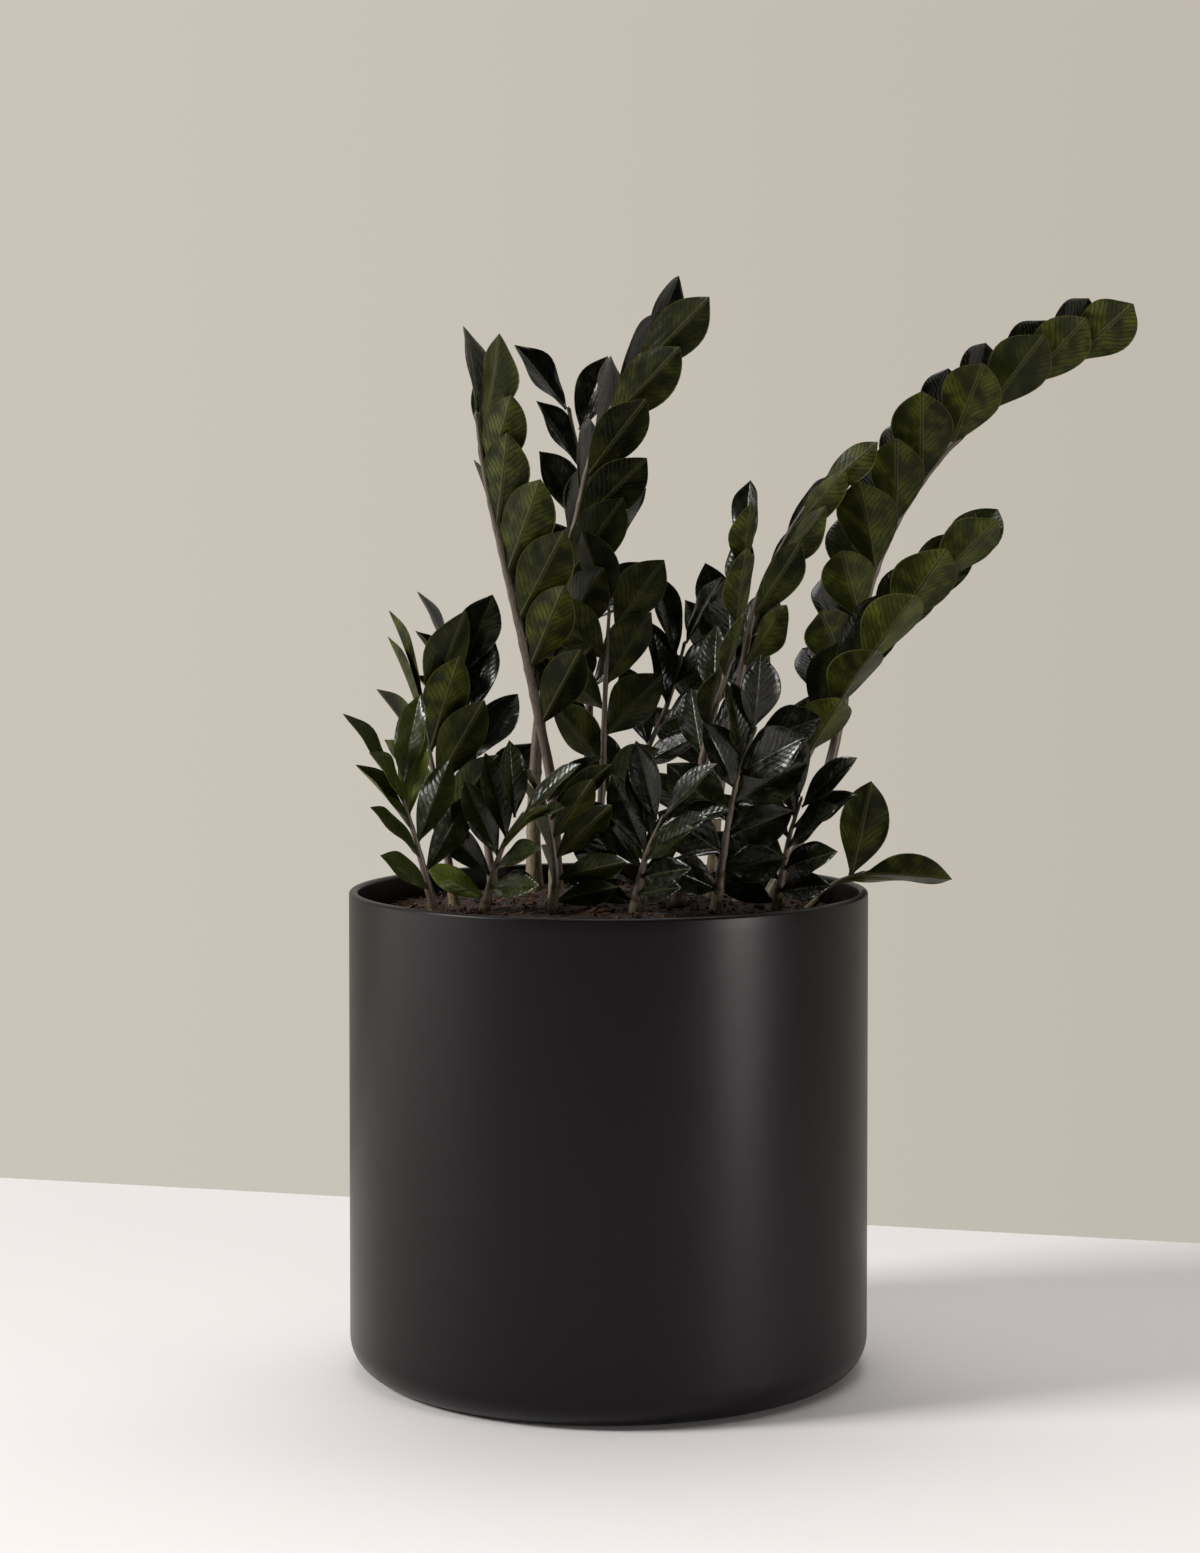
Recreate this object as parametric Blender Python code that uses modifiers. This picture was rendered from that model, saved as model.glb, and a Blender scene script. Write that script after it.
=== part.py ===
"""A potted zz plant: a round straight-sided planter, its potting mix and twenty leafy fronds.

Lengths below are millimetres and angles degrees. +Z is up, and the origin is the centre of the
planter's flat underside. Every frond stands in a socket in the mix and carries two rows of
leaflets. The leaflets at a frond's end are pieces of their own, and the others are joined to it.
"""

import math
import random
from collections import namedtuple

import bmesh
import bpy
from mathutils import Vector
from mathutils.bvhtree import BVHTree

MM = 0.001
FIT_GAP = 0.3

# Planter
POT_RADIUS = 150.0
POT_HEIGHT = 277.0
POT_WALL = 5.0
POT_FLOOR = 6.0
POT_CORNER = 20.5
LIP_RADIUS = 1.9
CORNER_STEPS = 3
TURN_STEPS = 44

# Potting mix
MIX_BELOW_RIM = 16.0
MIX_CROWN = 9.0
MIX_RINGS = 3

# Stems
STEM_DEPTH = 22.0
STEM_SIDES_RESOLUTION = 1
STEM_SCALE = 1.0
BASE_SWELL = 1.35
SWELL_HEIGHT = 14.0

# Leaflets
LEAF_SCALE = 1.0
LEAF_THICKNESS = 1.2
LEAF_SHARES = (0.0, 0.26, 0.68, 1.0)
LEAF_FOLD = 14.0
LEAF_RECURVE = 22.0
LEAF_TIP_WIDTH = 0.06
LEAF_BASE_WIDTH = 0.12
SMALL_SPRIG = 5
STAND_OFF_STEPS = 40

Frond = namedtuple(
    "Frond", "name x y path radius count start length width face rise splay twist seed"
)

# Base x and y are shares of the mix's radius; the path gives (right, back, up) steps from there.
# start: share of the stem where leaflets begin. length, width: a full leaflet's size. face: the
# compass direction of the leaflets' upper side. rise: lift of both rows towards that side. splay:
# angle to the stem at the first and the last leaflet. twist: turn of each blade towards the tip.
FRONDS = (
    Frond("tall_left", -0.21, 0.05,
          ((-2, 2, 60), (-9, 4, 100), (-21, 4, 156), (-28, 3, 186), (-40, 0, 240), (-46, -3, 282)),
          3.9, 14, 0.36, 64, 34, 26, 34, (42, 24), 14, 11),
    Frond("tall_centre", -0.31, 0.50,
          ((0, 0, 60), (5, 0, 120), (15, -2, 175), (26, -4, 225), (38, -6, 272), (64, -10, 322)),
          4.6, 14, 0.34, 70, 33, 20, 26, (38, 22), 46, 12),
    Frond("tall_back", -0.10, 0.82,
          ((2, 4, 80), (3, 8, 160), (2, 10, 230), (-10, 10, 296)),
          3.6, 11, 0.34, 54, 29, -80, 26, (46, 24), 18, 13),
    Frond("mid_centre", -0.08, 0.34,
          ((5, 0, 30), (8, 0, 68), (9, 0, 104), (11, 0, 150), (12, -2, 168)),
          3.0, 8, 0.36, 52, 34, 85, 24, (50, 16), 12, 14),
    Frond("centre_back", -0.04, 0.66,
          ((10, 0, 36), (24, 0, 74), (38, 0, 104), (46, 0, 126), (52, 0, 150)),
          3.0, 8, 0.40, 54, 27, -110, 26, (50, 20), 16, 15),
    Frond("mid_right_front", 0.28, -0.05,
          ((6, 0, 40), (14, -2, 84), (20, -4, 112), (32, -6, 150), (40, -8, 200)),
          3.4, 9, 0.42, 50, 24, -170, 30, (40, 14), 18, 16),
    Frond("mid_right_back", 0.42, 0.28,
          ((4, 0, 56), (12, 0, 100), (18, 0, 134), (26, 0, 172), (44, 0, 212), (62, -2, 240)),
          3.8, 11, 0.42, 56, 24, 5, 32, (38, 20), 20, 17),
    Frond("right_front", 0.53, 0.12,
          ((12, -10, 36), (26, -24, 66), (46, -36, 104), (64, -42, 132), (88, -46, 164),
           (116, -48, 192)),
          3.7, 11, 0.36, 62, 36, 180, 20, (32, 22), 50, 18),
    Frond("right_arch", 0.66, 0.32,
          ((30, 2, 62), (42, 4, 106), (50, 6, 150), (68, 8, 208), (92, 8, 250), (124, 6, 286),
           (156, 4, 308), (178, 2, 318)),
          4.0, 18, 0.33, 62, 39, 180, 46, (46, 30), 46, 19),
    Frond("left_short", -0.62, 0.08,
          ((-5, 0, 34), (-10, -2, 66), (-16, -4, 98), (-18, -4, 118)),
          2.8, 8, 0.40, 62, 30, 60, 26, (44, 18), 14, 20),
    Frond("left_low", -0.68, -0.26,
          ((-6, -3, 26), (-13, -6, 52), (-22, -8, 80)),
          2.5, 9, 0.20, 54, 22, -50, 26, (46, 20), 14, 21),
    Frond("left_sprig", -0.49, -0.22,
          ((5, -2, 20), (12, -4, 40), (22, -6, 56)),
          2.4, 10, 0.12, 48, 20, -120, 30, (70, 20), 12, 22),
    Frond("low_centre", -0.22, -0.26,
          ((2, -2, 18), (0, -4, 40), (-4, -6, 62)),
          2.4, 11, 0.08, 50, 20, 40, 30, (76, 18), 10, 23),
    Frond("low_right_centre", 0.10, -0.32,
          ((3, -2, 18), (8, -4, 36), (16, -6, 54)),
          2.4, 12, 0.08, 48, 20, -120, 30, (76, 18), 10, 24),
    Frond("low_sprig", 0.14, 0.10,
          ((1, -2, 16), (0, -4, 34)),
          1.9, 4, 0.45, 28, 13, 90, 22, (48, 24), 10, 25),
    Frond("round_cluster", 0.42, -0.24,
          ((4, -4, 30), (8, -8, 56), (14, -10, 84), (22, -12, 104)),
          2.8, 11, 0.12, 46, 31, -90, 20, (72, 20), 12, 26),
    Frond("low_right", 0.66, -0.16,
          ((4, -4, 24), (8, -8, 46), (14, -12, 66)),
          2.5, 11, 0.08, 52, 22, -120, 28, (76, 20), 12, 27),
    Frond("rim_sprig", 0.80, 0.02,
          ((14, -10, 16), (30, -20, 24)),
          1.9, 3, 0.62, 62, 34, 100, 20, (70, 24), 10, 28),
    Frond("low_back_left", -0.48, 0.58,
          ((-6, 8, 40), (-14, 16, 80), (-22, 22, 116), (-26, 26, 140)),
          2.8, 9, 0.28, 54, 28, -60, 26, (50, 22), 16, 29),
    Frond("low_back_right", 0.34, 0.72,
          ((6, 8, 40), (12, 16, 84), (20, 22, 124), (24, 24, 152)),
          2.8, 9, 0.28, 54, 28, -110, 26, (50, 22), 16, 30),
)

POT_COLOUR = (0.012, 0.011, 0.011)
MIX_COLOUR = (0.040, 0.020, 0.013)
STEM_COLOUR = (0.130, 0.100, 0.070)
LEAF_COLOUR = (0.014, 0.018, 0.008)


# ---------------------------------------------------------------- scene and materials

def clear_scene():
    for obj in list(bpy.data.objects):
        bpy.data.objects.remove(obj)


def new_collection(name, is_helper=False):
    collection = bpy.data.collections.new(name)
    collection.hide_render = is_helper
    bpy.context.scene.collection.children.link(collection)
    return collection


def principled(name, colour, roughness):
    material = bpy.data.materials.new(name)
    material.use_nodes = True
    shader = material.node_tree.nodes["Principled BSDF"]
    shader.inputs["Base Color"].default_value = (*colour, 1.0)
    shader.inputs["Roughness"].default_value = roughness
    shader.inputs["Metallic"].default_value = 0.0
    return material


def add_object(name, data, collection, material=None):
    obj = bpy.data.objects.new(name, data)
    collection.objects.link(obj)
    if material:
        data.materials.append(material)
    return obj


def make_helper(obj):
    obj.hide_render = True
    obj.display_type = "WIRE"
    return obj


# ---------------------------------------------------------------- planter and mix

def arc(centre_x, centre_z, radius, start, end, steps):
    """Points (x, z) on an arc, from one angle to the other, both ends included."""
    angles = [math.radians(start + (end - start) * i / steps) for i in range(steps + 1)]
    return [(centre_x + radius * math.cos(a), centre_z + radius * math.sin(a)) for a in angles]


def turned(name, profile, collection, material):
    """Turns a profile of (x, z) points about +Z. It starts and ends on the axis."""
    mesh = bpy.data.meshes.new(name)
    points = [(x * MM, 0.0, z * MM) for x, z in profile]
    mesh.from_pydata(points, [(i, i + 1) for i in range(len(points) - 1)], [])
    obj = add_object(name, mesh, collection, material)
    screw = obj.modifiers.new("Turn", "SCREW")
    screw.steps = TURN_STEPS
    screw.render_steps = TURN_STEPS
    screw.use_merge_vertices = True
    screw.merge_threshold = 0.00001
    screw.use_smooth_shade = True
    return obj


def pot_profile():
    inner = POT_RADIUS - POT_WALL
    inner_corner = POT_CORNER - POT_WALL
    lip_z = POT_HEIGHT - LIP_RADIUS
    lip = arc(inner + LIP_RADIUS, lip_z, LIP_RADIUS, 180, 90, 2)
    lip += arc(POT_RADIUS - LIP_RADIUS, lip_z, LIP_RADIUS, 90, 0, 2)
    outside = arc(POT_RADIUS - POT_CORNER, POT_CORNER, POT_CORNER, 0, -90, CORNER_STEPS)
    inside = arc(inner - inner_corner, POT_FLOOR + inner_corner, inner_corner, -90, 0, CORNER_STEPS)
    return lip + outside + [(0.0, 0.0), (0.0, POT_FLOOR)] + inside + lip[:1]


def mix_radius():
    return POT_RADIUS - POT_WALL - FIT_GAP


def mix_height(x, y):
    """Height of the crowned mix at a point in plan."""
    share = min(1.0, math.hypot(x, y) / mix_radius())
    return POT_HEIGHT - MIX_BELOW_RIM + MIX_CROWN * (1.0 - share * share)


def mix_profile():
    radius = mix_radius()
    corner = POT_CORNER - POT_WALL
    top = [(radius * i / MIX_RINGS, mix_height(radius * i / MIX_RINGS, 0.0))
           for i in range(MIX_RINGS + 1)]
    floor = POT_FLOOR + FIT_GAP
    return top + arc(radius - corner, floor + corner, corner, 0, -90, CORNER_STEPS) + [(0.0, floor)]


# ---------------------------------------------------------------- stems

class Stem:
    """A frond's centreline: smooth points from under the mix to the last leaflet."""

    SPANS = 2

    def __init__(self, frond):
        self.frond = frond
        x, y = frond.x * mix_radius(), frond.y * mix_radius()
        self.foot = Vector((x, y, mix_height(x, y)))
        knots = [self.foot] + [self.foot + Vector(step) for step in frond.path]
        first = knots[0] * 2 - knots[1]
        last = knots[-1] * 2 - knots[-2]
        padded = [first] + knots + [last]
        self.points = []
        for i in range(1, len(padded) - 2):
            for j in range(self.SPANS):
                self.points.append(catmull(padded[i - 1:i + 3], j / self.SPANS))
        self.points.append(knots[-1])
        self.lengths = [0.0]
        for a, b in zip(self.points, self.points[1:]):
            self.lengths.append(self.lengths[-1] + (b - a).length)

    def at(self, share):
        """(point, tangent, radius) at a share of the visible length."""
        wanted = share * self.lengths[-1]
        i = max(k for k in range(len(self.points) - 1) if self.lengths[k] <= wanted + 1e-9)
        step = self.points[i + 1] - self.points[i]
        done = (wanted - self.lengths[i]) / step.length
        return self.points[i] + step * done, step.normalized(), self.radius(share)

    def radius(self, share):
        swell = math.exp(-share * self.lengths[-1] / SWELL_HEIGHT)
        slim = self.frond.radius * STEM_SCALE * (1.0 - 0.68 * share ** 0.8)
        return slim * (1.0 + (BASE_SWELL - 1.0) * swell)

    def tube(self, grow=0.0, whole=True):
        """Curve points with radii: from the buried end, to the tip or to just above the mix."""
        down = Vector((0.0, 0.0, -1.0))
        start = [(self.foot + down * (STEM_DEPTH + grow), self.radius(0.0) + grow)]
        if not whole:
            return start + [(self.foot + down * -SWELL_HEIGHT, self.radius(0.0) + grow)]
        shares = [length / self.lengths[-1] for length in self.lengths]
        return start + [(p, self.radius(s)) for p, s in zip(self.points, shares)]


def catmull(four, t):
    a, b, c, d = four
    return 0.5 * (2 * b + (c - a) * t + (2 * a - 5 * b + 4 * c - d) * t ** 2
                  + (3 * b - a - 3 * c + d) * t ** 3)


def tube_mesh(name, points):
    """A capped round tube through (point, radius) pairs, as one welded mesh."""
    curve = bpy.data.curves.new(name, "CURVE")
    curve.dimensions = "3D"
    curve.bevel_depth = MM
    curve.bevel_resolution = STEM_SIDES_RESOLUTION
    curve.use_fill_caps = True
    spline = curve.splines.new("POLY")
    spline.points.add(len(points) - 1)
    for spline_point, (position, radius) in zip(spline.points, points):
        spline_point.co = (*(position * MM), 1.0)
        spline_point.radius = radius
    guide = bpy.data.objects.new(name, curve)
    bpy.context.scene.collection.objects.link(guide)
    graph = bpy.context.evaluated_depsgraph_get()
    mesh = bpy.data.meshes.new_from_object(guide.evaluated_get(graph))
    bpy.data.objects.remove(guide)
    bpy.data.curves.remove(curve)
    work = bmesh.new()
    work.from_mesh(mesh)
    bmesh.ops.remove_doubles(work, verts=work.verts, dist=0.00001)
    bmesh.ops.recalc_face_normals(work, faces=work.faces)
    work.to_mesh(mesh)
    work.free()
    return mesh


# ---------------------------------------------------------------- leaflets

Leaf = namedtuple("Leaf", "root along across normal length width")


def leaf_width(share):
    """Half-width of a leaflet as a share of its greatest: a narrow foot and a drawn-out tip."""
    body = math.sin(math.pi * share ** 0.92) ** 0.66
    return max(LEAF_TIP_WIDTH, body, LEAF_BASE_WIDTH * (1.0 - share))


def leaf_point(leaf, share, side, lift=0.0, grow=0.0):
    """A point of a blade that is folded along its midrib and bends back towards its tip."""
    bend = math.radians(LEAF_RECURVE) * share
    fold = math.radians(LEAF_FOLD)
    reach = leaf.length * share * math.cos(bend / 2) + grow * (2 * share - 1)
    normal = leaf.normal * math.cos(bend) + leaf.along * math.sin(bend)
    half = leaf.width / 2 * leaf_width(share) + grow
    out = leaf.across * (side * math.cos(fold)) + normal * (abs(side) * math.sin(fold))
    drop = -leaf.length * share * math.sin(bend / 2)
    return leaf.root + leaf.along * reach + leaf.normal * drop + out * half + normal * lift


def blade_test(leaf):
    """A tree of a blade with the clearance it needs on every side."""
    half = LEAF_THICKNESS / 2 + FIT_GAP * 1.3
    rows = len(LEAF_SHARES)
    points = [leaf_point(leaf, share, side, lift, FIT_GAP * 1.5)
              for lift in (half, -half) for share in LEAF_SHARES for side in (-1, 0, 1)]
    layer = rows * 3
    faces = []
    for base in (0, layer):
        for row in range(rows - 1):
            for column in (0, 1):
                a = base + row * 3 + column
                faces.append((a, a + 1, a + 4, a + 3))
    ring = ([row * 3 for row in range(rows)] + [layer - 2, layer - 1]
            + [row * 3 + 2 for row in reversed(range(rows - 1))] + [1])
    for a, b in zip(ring, ring[1:] + ring[:1]):
        faces.append((a, b, b + layer, a + layer))
    return tree_of(points, faces)


def tree_of(points, faces):
    return BVHTree.FromPolygons([tuple(p) for p in points], faces)


def add_blade(work, leaf):
    """Adds one open blade, shaped from a grid, to a bmesh."""
    spans = len(LEAF_SHARES) - 1
    grid = bmesh.ops.create_grid(work, x_segments=2, y_segments=spans, size=1.0)
    for vert in grid["verts"]:
        row = round((vert.co.y + 1.0) / 2 * spans)
        vert.co = leaf_point(leaf, LEAF_SHARES[row], round(vert.co.x)) * MM


def leaf_mesh(name, leaves):
    work = bmesh.new()
    for leaf in leaves:
        add_blade(work, leaf)
    mesh = bpy.data.meshes.new(name)
    work.to_mesh(mesh)
    work.free()
    mesh.shade_smooth()
    return mesh


def thicken(obj):
    solid = obj.modifiers.new("Blade", "SOLIDIFY")
    solid.thickness = LEAF_THICKNESS * MM
    solid.offset = 0.0
    solid.use_even_offset = False
    return obj


# ---------------------------------------------------------------- layout

def leaf_on(stem, place, trial):
    """The leaflet at its place on a stem, shifted by a trial."""
    frond = stem.frond
    side = place["side"]
    point, along_stem, stem_radius = stem.at(place["share"])
    facing = Vector((math.cos(math.radians(frond.face)), math.sin(math.radians(frond.face)), 0.0))
    front = (facing - along_stem * facing.dot(along_stem)).normalized()
    across_stem = along_stem.cross(front)
    lift, swing, turn, shrink = trial
    rise = math.radians(frond.rise + place["rise"] + lift)
    first, last = frond.splay
    splay = math.radians(first + (last - first) * place["order"] + place["splay"] + swing)
    twist = math.radians(frond.twist + place["twist"] + turn)
    out = across_stem * (side * math.cos(rise)) + front * math.sin(rise)
    flat = front * math.cos(rise) - across_stem * (side * math.sin(rise))
    along = along_stem * math.cos(splay) + out * math.sin(splay)
    inward = along_stem * math.sin(splay) - out * math.cos(splay)
    normal = flat * math.cos(twist) + inward * math.sin(twist)
    start = stem_radius + FIT_GAP * 2 if place["is_loose"] else stem_radius * 0.35
    size = frond.length * LEAF_SCALE * place["size"] * shrink
    width = frond.width * LEAF_SCALE * place["size"] * shrink
    return Leaf(point + out * start, along, along.cross(normal), normal, size, width)


def stand_off(leaf, stem_tree):
    """Slides a loose leaflet outwards along its own line until it just clears its stem."""
    for step in range(STAND_OFF_STEPS):
        moved = leaf._replace(root=leaf.root + leaf.along * (step * FIT_GAP / 2))
        tree = blade_test(moved)
        if not tree.overlap(stem_tree):
            break
    return moved, tree


def trials():
    """Shifts that a growing leaflet tries, nearest first: (lift, swing, turn, size)."""
    yield (0, 0, 0, 1.0)
    ways = ((1, 0), (-1, 0), (0, 1), (0, -1), (1, 1), (-1, -1), (1, -1), (-1, 1))
    for shrink in (1.0, 0.9, 0.8, 0.66, 0.5):
        for reach in (1, 2, 3, 4, 6):
            for lift, swing in ways:
                for turn in (0, 14, -14):
                    yield (lift * reach * 8, swing * reach * 7, turn, shrink)


def loose_count(frond):
    """How many leaflets at a frond's end are pieces of their own."""
    return 1 if frond.count <= SMALL_SPRIG else 2


def places(frond):
    """Each leaflet's place on its frond with its own small variations, end leaflets first."""
    dice = random.Random(frond.seed)
    for number in reversed(range(frond.count)):
        order = number / (frond.count - 1)
        full = 0.74 + 0.26 * math.sin(0.47 + 1.95 * order)
        yield {
            "order": order,
            "share": frond.start + (1.0 - frond.start) * order ** 0.92 - 0.002,
            "side": 1 if number % 2 else -1,
            "is_loose": number >= frond.count - loose_count(frond),
            "rise": dice.uniform(-7, 7),
            "splay": dice.uniform(-6, 6),
            "twist": dice.uniform(-8, 8),
            "size": dice.uniform(0.92, 1.06) * full,
        }


class Layout:
    """Grows every leaflet clear of the pieces already there."""

    def __init__(self, vessel_trees, stem_trees):
        self.stem_trees = stem_trees
        self.placed = [("", tree) for tree in vessel_trees] + list(stem_trees.items())

    def fit(self, stem, place):
        """The first trial of a leaflet that is clear, with its tree, or (None, None)."""
        own = stem.frond.name
        for trial in trials():
            leaf = leaf_on(stem, place, trial)
            if place["is_loose"]:
                leaf, tree = stand_off(leaf, self.stem_trees[own])
                others = self.placed
            else:
                tree = blade_test(leaf)
                others = [entry for entry in self.placed if entry[0] != own]
            if not any(tree.overlap(other) for _, other in others):
                return leaf, tree
        return None, None

    def grow(self, stem, want_loose):
        """Grows a frond's loose leaflets, or the ones that join its stem."""
        name = stem.frond.name
        grown = []
        for place in places(stem.frond):
            if place["is_loose"] != want_loose:
                continue
            leaf, tree = self.fit(stem, place)
            if leaf:
                grown.append(leaf)
                self.placed.append(("" if want_loose else name, tree))
        return grown

    def grow_all(self, stems):
        """Loose leaflets grow first, so that each finds its room."""
        self.loose = {stem.frond.name: self.grow(stem, True) for stem in stems}
        self.joined = {stem.frond.name: self.grow(stem, False) for stem in stems}


def mesh_tree(mesh):
    """A tree of a mesh, in millimetres."""
    points = [vert.co / MM for vert in mesh.vertices]
    return tree_of(points, [tuple(face.vertices) for face in mesh.polygons])


def evaluated_tree(obj):
    graph = bpy.context.evaluated_depsgraph_get()
    source = obj.evaluated_get(graph)
    tree = mesh_tree(source.to_mesh())
    source.to_mesh_clear()
    return tree


# ---------------------------------------------------------------- assembly

def join_sockets(stems, collection):
    """All the stems' sockets as one cutter."""
    work = bmesh.new()
    for stem in stems:
        mesh = tube_mesh("socket", stem.tube(grow=FIT_GAP * 1.3, whole=False))
        work.from_mesh(mesh)
        bpy.data.meshes.remove(mesh)
    mesh = bpy.data.meshes.new("stem_sockets")
    work.to_mesh(mesh)
    work.free()
    return make_helper(add_object("stem_sockets", mesh, collection))


def main():
    clear_scene()
    plant = new_collection("potted_zz_plant")
    helpers = new_collection("cutters", is_helper=True)
    stem_material = principled("frond_green", STEM_COLOUR, 0.55)
    leaf_material = principled("leaf_dark_green", LEAF_COLOUR, 0.28)

    pot = turned("pot", pot_profile(), plant, principled("pot_black", POT_COLOUR, 0.42))
    mix = turned("potting_mix", mix_profile(), plant, principled("mix_brown", MIX_COLOUR, 0.95))
    stems = [Stem(frond) for frond in FRONDS]
    fronds = {}
    for stem in stems:
        name = stem.frond.name
        fronds[name] = add_object(name, tube_mesh(name, stem.tube()), plant, stem_material)
    bpy.context.view_layer.update()

    stem_trees = {name: mesh_tree(obj.data) for name, obj in fronds.items()}
    layout = Layout([evaluated_tree(pot), evaluated_tree(mix)], stem_trees)
    layout.grow_all(stems)

    cut = mix.modifiers.new("Sockets", "BOOLEAN")
    cut.operation = "DIFFERENCE"
    cut.object = join_sockets(stems, helpers)
    for name, obj in fronds.items():
        mesh = leaf_mesh(f"{name}_blades", layout.joined[name])
        blades = thicken(make_helper(add_object(f"{name}_blades", mesh, helpers)))
        union = obj.modifiers.new("Leaflets", "BOOLEAN")
        union.operation = "UNION"
        union.object = blades
        union.use_self = True
        for number, leaf in enumerate(reversed(layout.loose[name]), 1):
            leaf_name = f"{name}_leaf_{number}"
            thicken(add_object(leaf_name, leaf_mesh(leaf_name, [leaf]), plant, leaf_material))


main()
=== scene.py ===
"""A potted zz plant: glossy dark leaflets on speckled stems, in a satin black planter.

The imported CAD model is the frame. The stems and leaflets grow here by the same rules and sizes as
in the CAD model, and fine meshes then stand in for every CAD node. Lengths are millimetres and
angles degrees until a mesh is made, and the origin is the centre of the planter's underside.
"""

import math
import random
from collections import namedtuple

import bmesh
import bpy
import numpy as np
from mathutils import Euler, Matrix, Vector, noise
from mathutils.bvhtree import BVHTree

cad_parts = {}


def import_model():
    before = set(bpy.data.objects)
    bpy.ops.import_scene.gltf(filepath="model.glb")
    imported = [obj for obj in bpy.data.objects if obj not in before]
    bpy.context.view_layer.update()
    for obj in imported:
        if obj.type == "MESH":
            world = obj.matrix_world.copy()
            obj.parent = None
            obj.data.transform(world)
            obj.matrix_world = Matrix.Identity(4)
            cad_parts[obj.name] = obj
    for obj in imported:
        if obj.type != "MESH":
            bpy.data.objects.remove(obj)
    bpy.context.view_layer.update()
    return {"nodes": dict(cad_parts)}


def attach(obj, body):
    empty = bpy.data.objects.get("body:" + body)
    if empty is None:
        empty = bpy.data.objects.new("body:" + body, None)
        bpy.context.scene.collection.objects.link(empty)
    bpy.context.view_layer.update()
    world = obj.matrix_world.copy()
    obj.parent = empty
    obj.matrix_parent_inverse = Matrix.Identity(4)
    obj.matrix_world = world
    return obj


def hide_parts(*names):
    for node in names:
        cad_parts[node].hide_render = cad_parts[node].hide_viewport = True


MM = 0.001
FIT_GAP = 0.3

# Planter
POT_RADIUS = 150.0
POT_HEIGHT = 277.0
POT_WALL = 5.0
POT_FLOOR = 6.0
POT_CORNER = 20.5
LIP_RADIUS = 1.9
POT_SIDES = 160
# Rings on the straight walls, which keep the shading of the lip and the corner from spreading
INNER_WALL_RINGS = (60.0, 120.0, 180.0, 230.0, 262.0)
OUTER_WALL_RINGS = (268.0, 250.0, 210.0, 160.0, 110.0, 60.0, 34.0)

# Potting mix
MIX_BELOW_RIM = 16.0
MIX_CROWN = 9.0
MIX_RINGS = 46
MIX_SIDES = 150
MIX_LUMP = 2.2
MIX_GRIT = 0.5
MIX_EDGE = 6.0
CRUMB_SEED = 77
CHIP_COUNT = 1500
BIG_CHIP_SHARE = 0.15
CHIP_TILT = 0.7
FIBRE_COUNT = 420
FIBRE_STEPS = 6
FIBRE_SIDES = 4

# Stems
STEM_DEPTH = 22.0
STEM_SIDES_RESOLUTION = 1
STEM_SCALE = 1.0
BASE_SWELL = 1.35
SWELL_HEIGHT = 14.0
STEM_SPANS = 2
SKIN_SPANS = 24
SKIN_SIDES = 14
SKIN_STEP = 3.0
SKIN_SEED = 500
NODE_SWELL = 0.16
NODE_REACH = 2.6
BUD_LENGTH = 2.2
# How high the old sheath stands on stems where it shows; on the others it is drawn by lot
SHEATH_HEIGHTS = {"tall_centre": 72.0, "tall_left": 30.0, "mid_right_front": 64.0,
                  "mid_right_back": 56.0}

# Leaflets
LEAF_SCALE = 1.0
LEAF_THICKNESS = 1.2
LEAF_SHARES = (0.0, 0.26, 0.68, 1.0)
LEAF_FOLD = 14.0
LEAF_RECURVE = 22.0
LEAF_TIP_WIDTH = 0.06
LEAF_BASE_WIDTH = 0.12
SMALL_SPRIG = 5
STAND_OFF_STEPS = 40

# Fine blades
BLADE_THICKNESS = 0.9
BLADE_ROWS = 21
BLADE_CROWDING = 0.08
BLADE_RECURVE = 12.0
BLADE_SHARES = (0.0, 0.05, 0.13, 0.28, 0.48, 0.68, 0.84, 0.94, 1.0)
MARGIN_WAVES = 1.6
RIB_HEIGHT = 0.55
GROOVE_DEPTH = 0.30
LOOK_SEED = 900
# How young, and so how light a green, a frond's leaflets are, from 0 to 1
FROND_YOUTH = {"left_low": 0.22, "left_sprig": 0.12, "tall_left": 0.04, "right_front": 0.08}
FRESH_FRONDS = ("left_low", "left_sprig")
FRESH_SHARE = 0.30
FRESH_YOUTH = 0.6
# Painted shade: these fronds' leaflets keep to the darker end of their colours, most of all the low
# fronds under the others, where the older leaves are also darker
FROND_PAINTED_SHADE = {"tall_left": 0.7, "tall_centre": 0.35, "low_centre": 0.3, "low_right_centre": 0.3,
               "low_right": 0.3, "round_cluster": 0.3, "rim_sprig": 0.5}

# Patterns on the leaflets: the slant is how fast side veins run back along a blade
SIDE_VEIN_SPACING = 4.4
FINE_VEIN_SPACING = 0.84
VEIN_SLANT = -1.05
VEIN_WANDER = 7.0
PATTERN_SHIFT = 50.0

Frond = namedtuple(
    "Frond", "name x y path radius count start length width face rise splay twist seed"
)

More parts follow.
